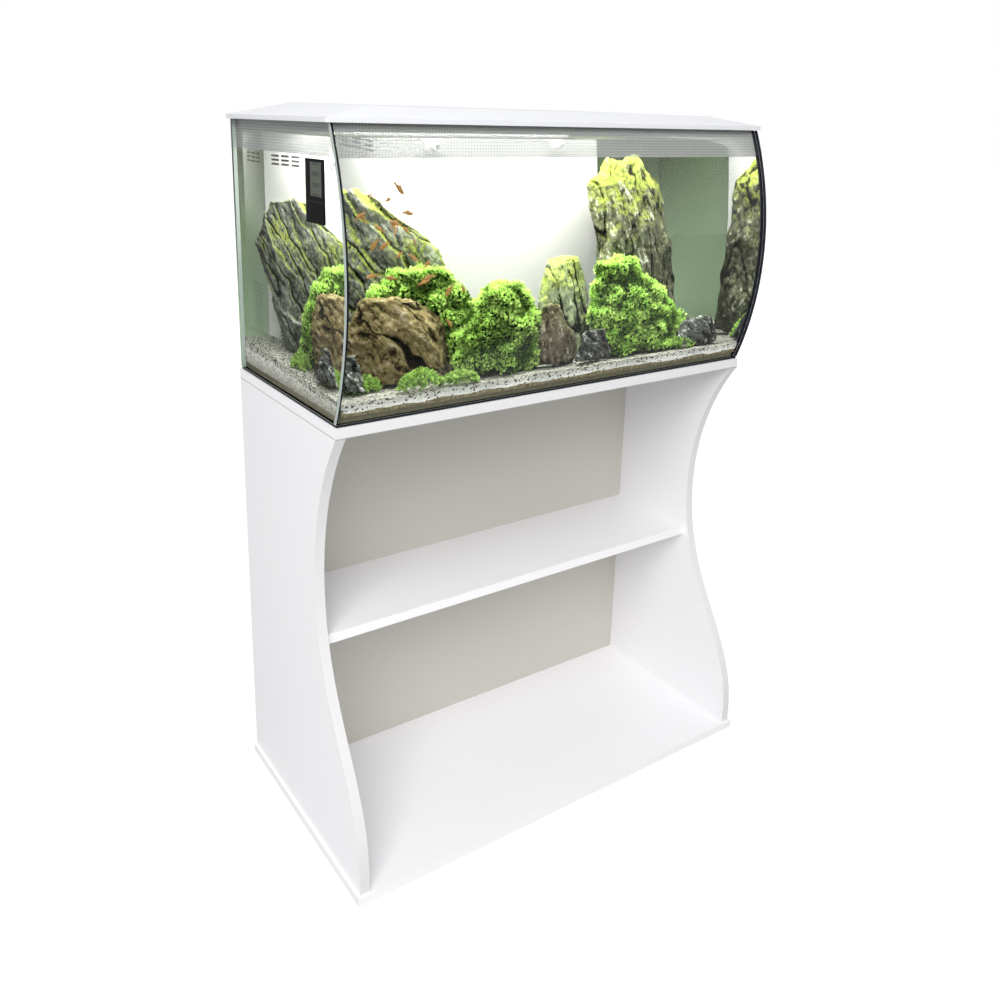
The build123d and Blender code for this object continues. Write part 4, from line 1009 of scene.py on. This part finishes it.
# Fish
# A small shoal of orange-brown fish swimming in front of the stones, each a
# slim body with a forked tail and a back fin.
fish_rings = (
    (0.0, 0.01, 0.01),
    (0.12, 0.10, 0.06),
    (0.35, 0.155, 0.085),
    (0.6, 0.12, 0.06),
    (0.82, 0.05, 0.025),
)
fish_fins = (
    ((-0.3, 0.03), (-0.52, 0.15), (-0.45, 0.0), (-0.52, -0.15), (-0.3, -0.03)),
    ((0.12, 0.14), (-0.05, 0.25), (-0.14, 0.11)),
)
fish_sides = 8


def fish(work, place, heading, pitch_up, length):
    """One fish: a ring-by-ring body, a tail and a fin."""
    turn = Matrix.Rotation(heading, 3, "Z") @ Matrix.Rotation(-pitch_up, 3, "Y")
    rings = []
    for share, half_high, half_wide in fish_rings:
        ring = []
        for step in range(fish_sides):
            angle = step * 2 * math.pi / fish_sides
            across = half_wide * math.cos(angle)
            spot = Vector((0.5 - share, across, half_high * math.sin(angle))) * length
            ring.append(work.verts.new(place + turn @ spot))
        rings.append(ring)
    for a, b in zip(rings, rings[1:]):
        for step in range(fish_sides):
            nxt = (step + 1) % fish_sides
            work.faces.new((a[step], a[nxt], b[nxt], b[step]))
    work.faces.new(rings[0][::-1])
    work.faces.new(rings[-1])
    for fin in fish_fins:
        spots = [place + turn @ (Vector((a, 0.0, b)) * length) for a, b in fin]
        work.faces.new([work.verts.new(spot) for spot in spots])


work = bmesh.new()
rng = random.Random(21)
shoals = (
    (16, ((-0.375, -0.27), (-0.162, -0.13), (0.95, 1.075))),
    (8, ((-0.33, -0.16), (-0.166, -0.13), (0.87, 0.98))),
)
for number, reaches in shoals:
    for _ in range(number):
        place = Vector([rng.uniform(low, high) for low, high in reaches])
        heading = rng.choice((0.35, 2.8)) + rng.uniform(-0.7, 0.7)
        pitch_up = rng.choice((-0.55, 0.55)) + rng.uniform(-0.4, 0.4)
        fish(work, place, heading, pitch_up, rng.uniform(0.015, 0.022))
scales = Look("fish")
tone = scales.grain(scales.place(), 160.0)
fish_look = scales.plain(
    {
        "Base Color": scales.mix(tone, (0.26, 0.10, 0.015, 1), (0.62, 0.34, 0.09, 1)),
        "Roughness": 0.4,
    }
)
piece_from("fish", work, fish_look, "stand_and_tank", [])


# Water
# Clear water up to just below the upper edge of the dot band; it bends the
# view through the panes and mirrors the inside at the right-hand pane.
water_gap = 0.0002
water_level = 1.136
water_steps = 40
water_depth = 0.0072
water_index = 1.33
floor_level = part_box("bottom_glass")[1].z + water_gap
side_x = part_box("right_glass")[0].x - water_gap
back_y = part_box("back_glass")[0].y - water_gap
outline = []
for step in range(water_steps + 1):
    z = floor_level + (water_level - floor_level) * step / water_steps
    outline.append((pane_y(z, water_depth), z))
outline += [(back_y, water_level), (back_y, floor_level)]
work = bmesh.new()
left_ring = [work.verts.new((-side_x, y, z)) for y, z in outline]
right_ring = [work.verts.new((side_x, y, z)) for y, z in outline]
work.faces.new(left_ring)
work.faces.new(right_ring[::-1])
for step in range(len(outline)):
    nxt = (step + 1) % len(outline)
    face = work.faces.new((left_ring[nxt], left_ring[step], right_ring[step], right_ring[nxt]))
    face.smooth = step < water_steps
bmesh.ops.recalc_face_normals(work, faces=work.faces)
for edge in work.edges:
    edge.smooth = len(edge.link_faces) == 2 and edge.calc_face_angle() < 0.3
water = Look("water")
water_sockets = {"Color": (1, 1, 1, 1), "Roughness": 0.0, "IOR": water_index}
entering = water.node("ShaderNodeBsdfRefraction", {}, water_sockets)
leaving = water.node("ShaderNodeBsdfGlass", {}, water_sockets)
from_inside = water.node("ShaderNodeNewGeometry", {}, {}, "Backfacing")
either = water.blend(from_inside, entering, leaving)
rays = water.node("ShaderNodeLightPath", {}, {}, "Is Shadow Ray")
pass_on = rays + rays.out("Is Diffuse Ray")
water_look = water.done(water.blend(pass_on, either, water.clear((1, 1, 1, 1))))
piece_from("water", work, water_look, "stand_and_tank", [])


# Floor, light and camera
# A plain white studio: a pale floor, an even white surround, one large soft
# lamp above the front and a long lamp in the hood over the water.
floor_half = 30.0
glow_from = 0.8
glow_run = 1.6
floor_look = Look("floor")
dust = floor_look.grain(floor_look.place(), 3.0)
seen = floor_look.node("ShaderNodeLightPath", {}, {}, "Is Camera Ray")
reach = floor_look.node(
    "ShaderNodeVectorMath", {"operation": "LENGTH"}, {0: floor_look.place()}, "Value"
)
far = ((reach - glow_from) / glow_run).clamp()
pale = floor_look.mix(dust, (0.93, 0.93, 0.93, 1), (0.94, 0.94, 0.94, 1))
glow = floor_look.mix(far, (0.6, 0.6, 0.6, 1), (1, 1, 1, 1))
floor_paint = floor_look.plain(
    {
        "Base Color": floor_look.mix(seen, (0.62, 0.62, 0.62, 1), pale),
        "Roughness": 0.8,
        "Emission Color": floor_look.mix(seen, (0, 0, 0, 1), glow),
        "Emission Strength": 0.6,
    }
)
work = bmesh.new()
bmesh.ops.create_grid(work, x_segments=1, y_segments=1, size=floor_half)
mesh = bpy.data.meshes.new("floor")
work.to_mesh(mesh)
work.free()
floor = bpy.data.objects.new("floor", mesh)
floor.data.materials.append(floor_paint)
bpy.context.collection.objects.link(floor)

world = bpy.data.worlds.new("surround")
bpy.context.scene.world = world
surround = Look("surround", world)
rays = surround.node("ShaderNodeLightPath", {}, {}, "Is Camera Ray")
direct = (rays + rays.out("Is Glossy Ray") + rays.out("Is Transmission Ray")).clamp()
tint = surround.mix(direct, (0.55, 0.55, 0.56, 1), (1, 1, 1, 1))
backdrop = surround.node("ShaderNodeBackground", {}, {"Color": tint})
surround.done(backdrop, "ShaderNodeOutputWorld")


def lamp(name, place, target, width, depth, power, colour):
    """A rectangular soft lamp, aimed at a point."""
    data = bpy.data.lights.new(name, "AREA")
    data.shape = "RECTANGLE"
    data.size = width
    data.size_y = depth
    data.energy = power
    data.color = colour
    made = bpy.data.objects.new(name, data)
    made.location = place
    made.rotation_euler = (Vector(target) - Vector(place)).to_track_quat("-Z", "Y").to_euler()
    bpy.context.collection.objects.link(made)


lamp(
    "key",
    place=(-1.9, -2.3, 3.0),
    target=(0, 0, 0.6),
    width=2.4,
    depth=2.4,
    power=128.0,
    colour=(1.0, 0.995, 0.985),
)
lamp(
    "tank_light",
    place=(0, -0.02, 1.1595),
    target=(0, -0.02, 0.8),
    width=0.7,
    depth=0.24,
    power=6.5,
    colour=(1.0, 0.99, 0.95),
)

camera_place = (-0.9253, -1.2829, 1.1640)
yaw, pitch_down, roll = (math.radians(angle) for angle in (34.652, 14.603, 1.393))
flat = math.cos(pitch_down)
ahead = Vector((math.sin(yaw) * flat, math.cos(yaw) * flat, -math.sin(pitch_down)))
level = Vector((math.cos(yaw), -math.sin(yaw), 0.0))
upright = level.cross(ahead)
right = level * math.cos(roll) + upright * math.sin(roll)
up = upright * math.cos(roll) - level * math.sin(roll)
camera_turn = Matrix((right, up, -ahead)).transposed().to_4x4()
camera_data = bpy.data.cameras.new("camera")
camera_data.sensor_width = 36.0
camera_data.lens = 33.82
camera_data.shift_x = 0.008
camera_data.shift_y = -0.1369
camera_data.clip_start = 0.01
camera_data.clip_end = 100.0
camera = bpy.data.objects.new("camera", camera_data)
camera.matrix_world = Matrix.Translation(camera_place) @ camera_turn
bpy.context.collection.objects.link(camera)
bpy.context.scene.camera = camera
bpy.context.scene.view_settings.view_transform = "Standard"
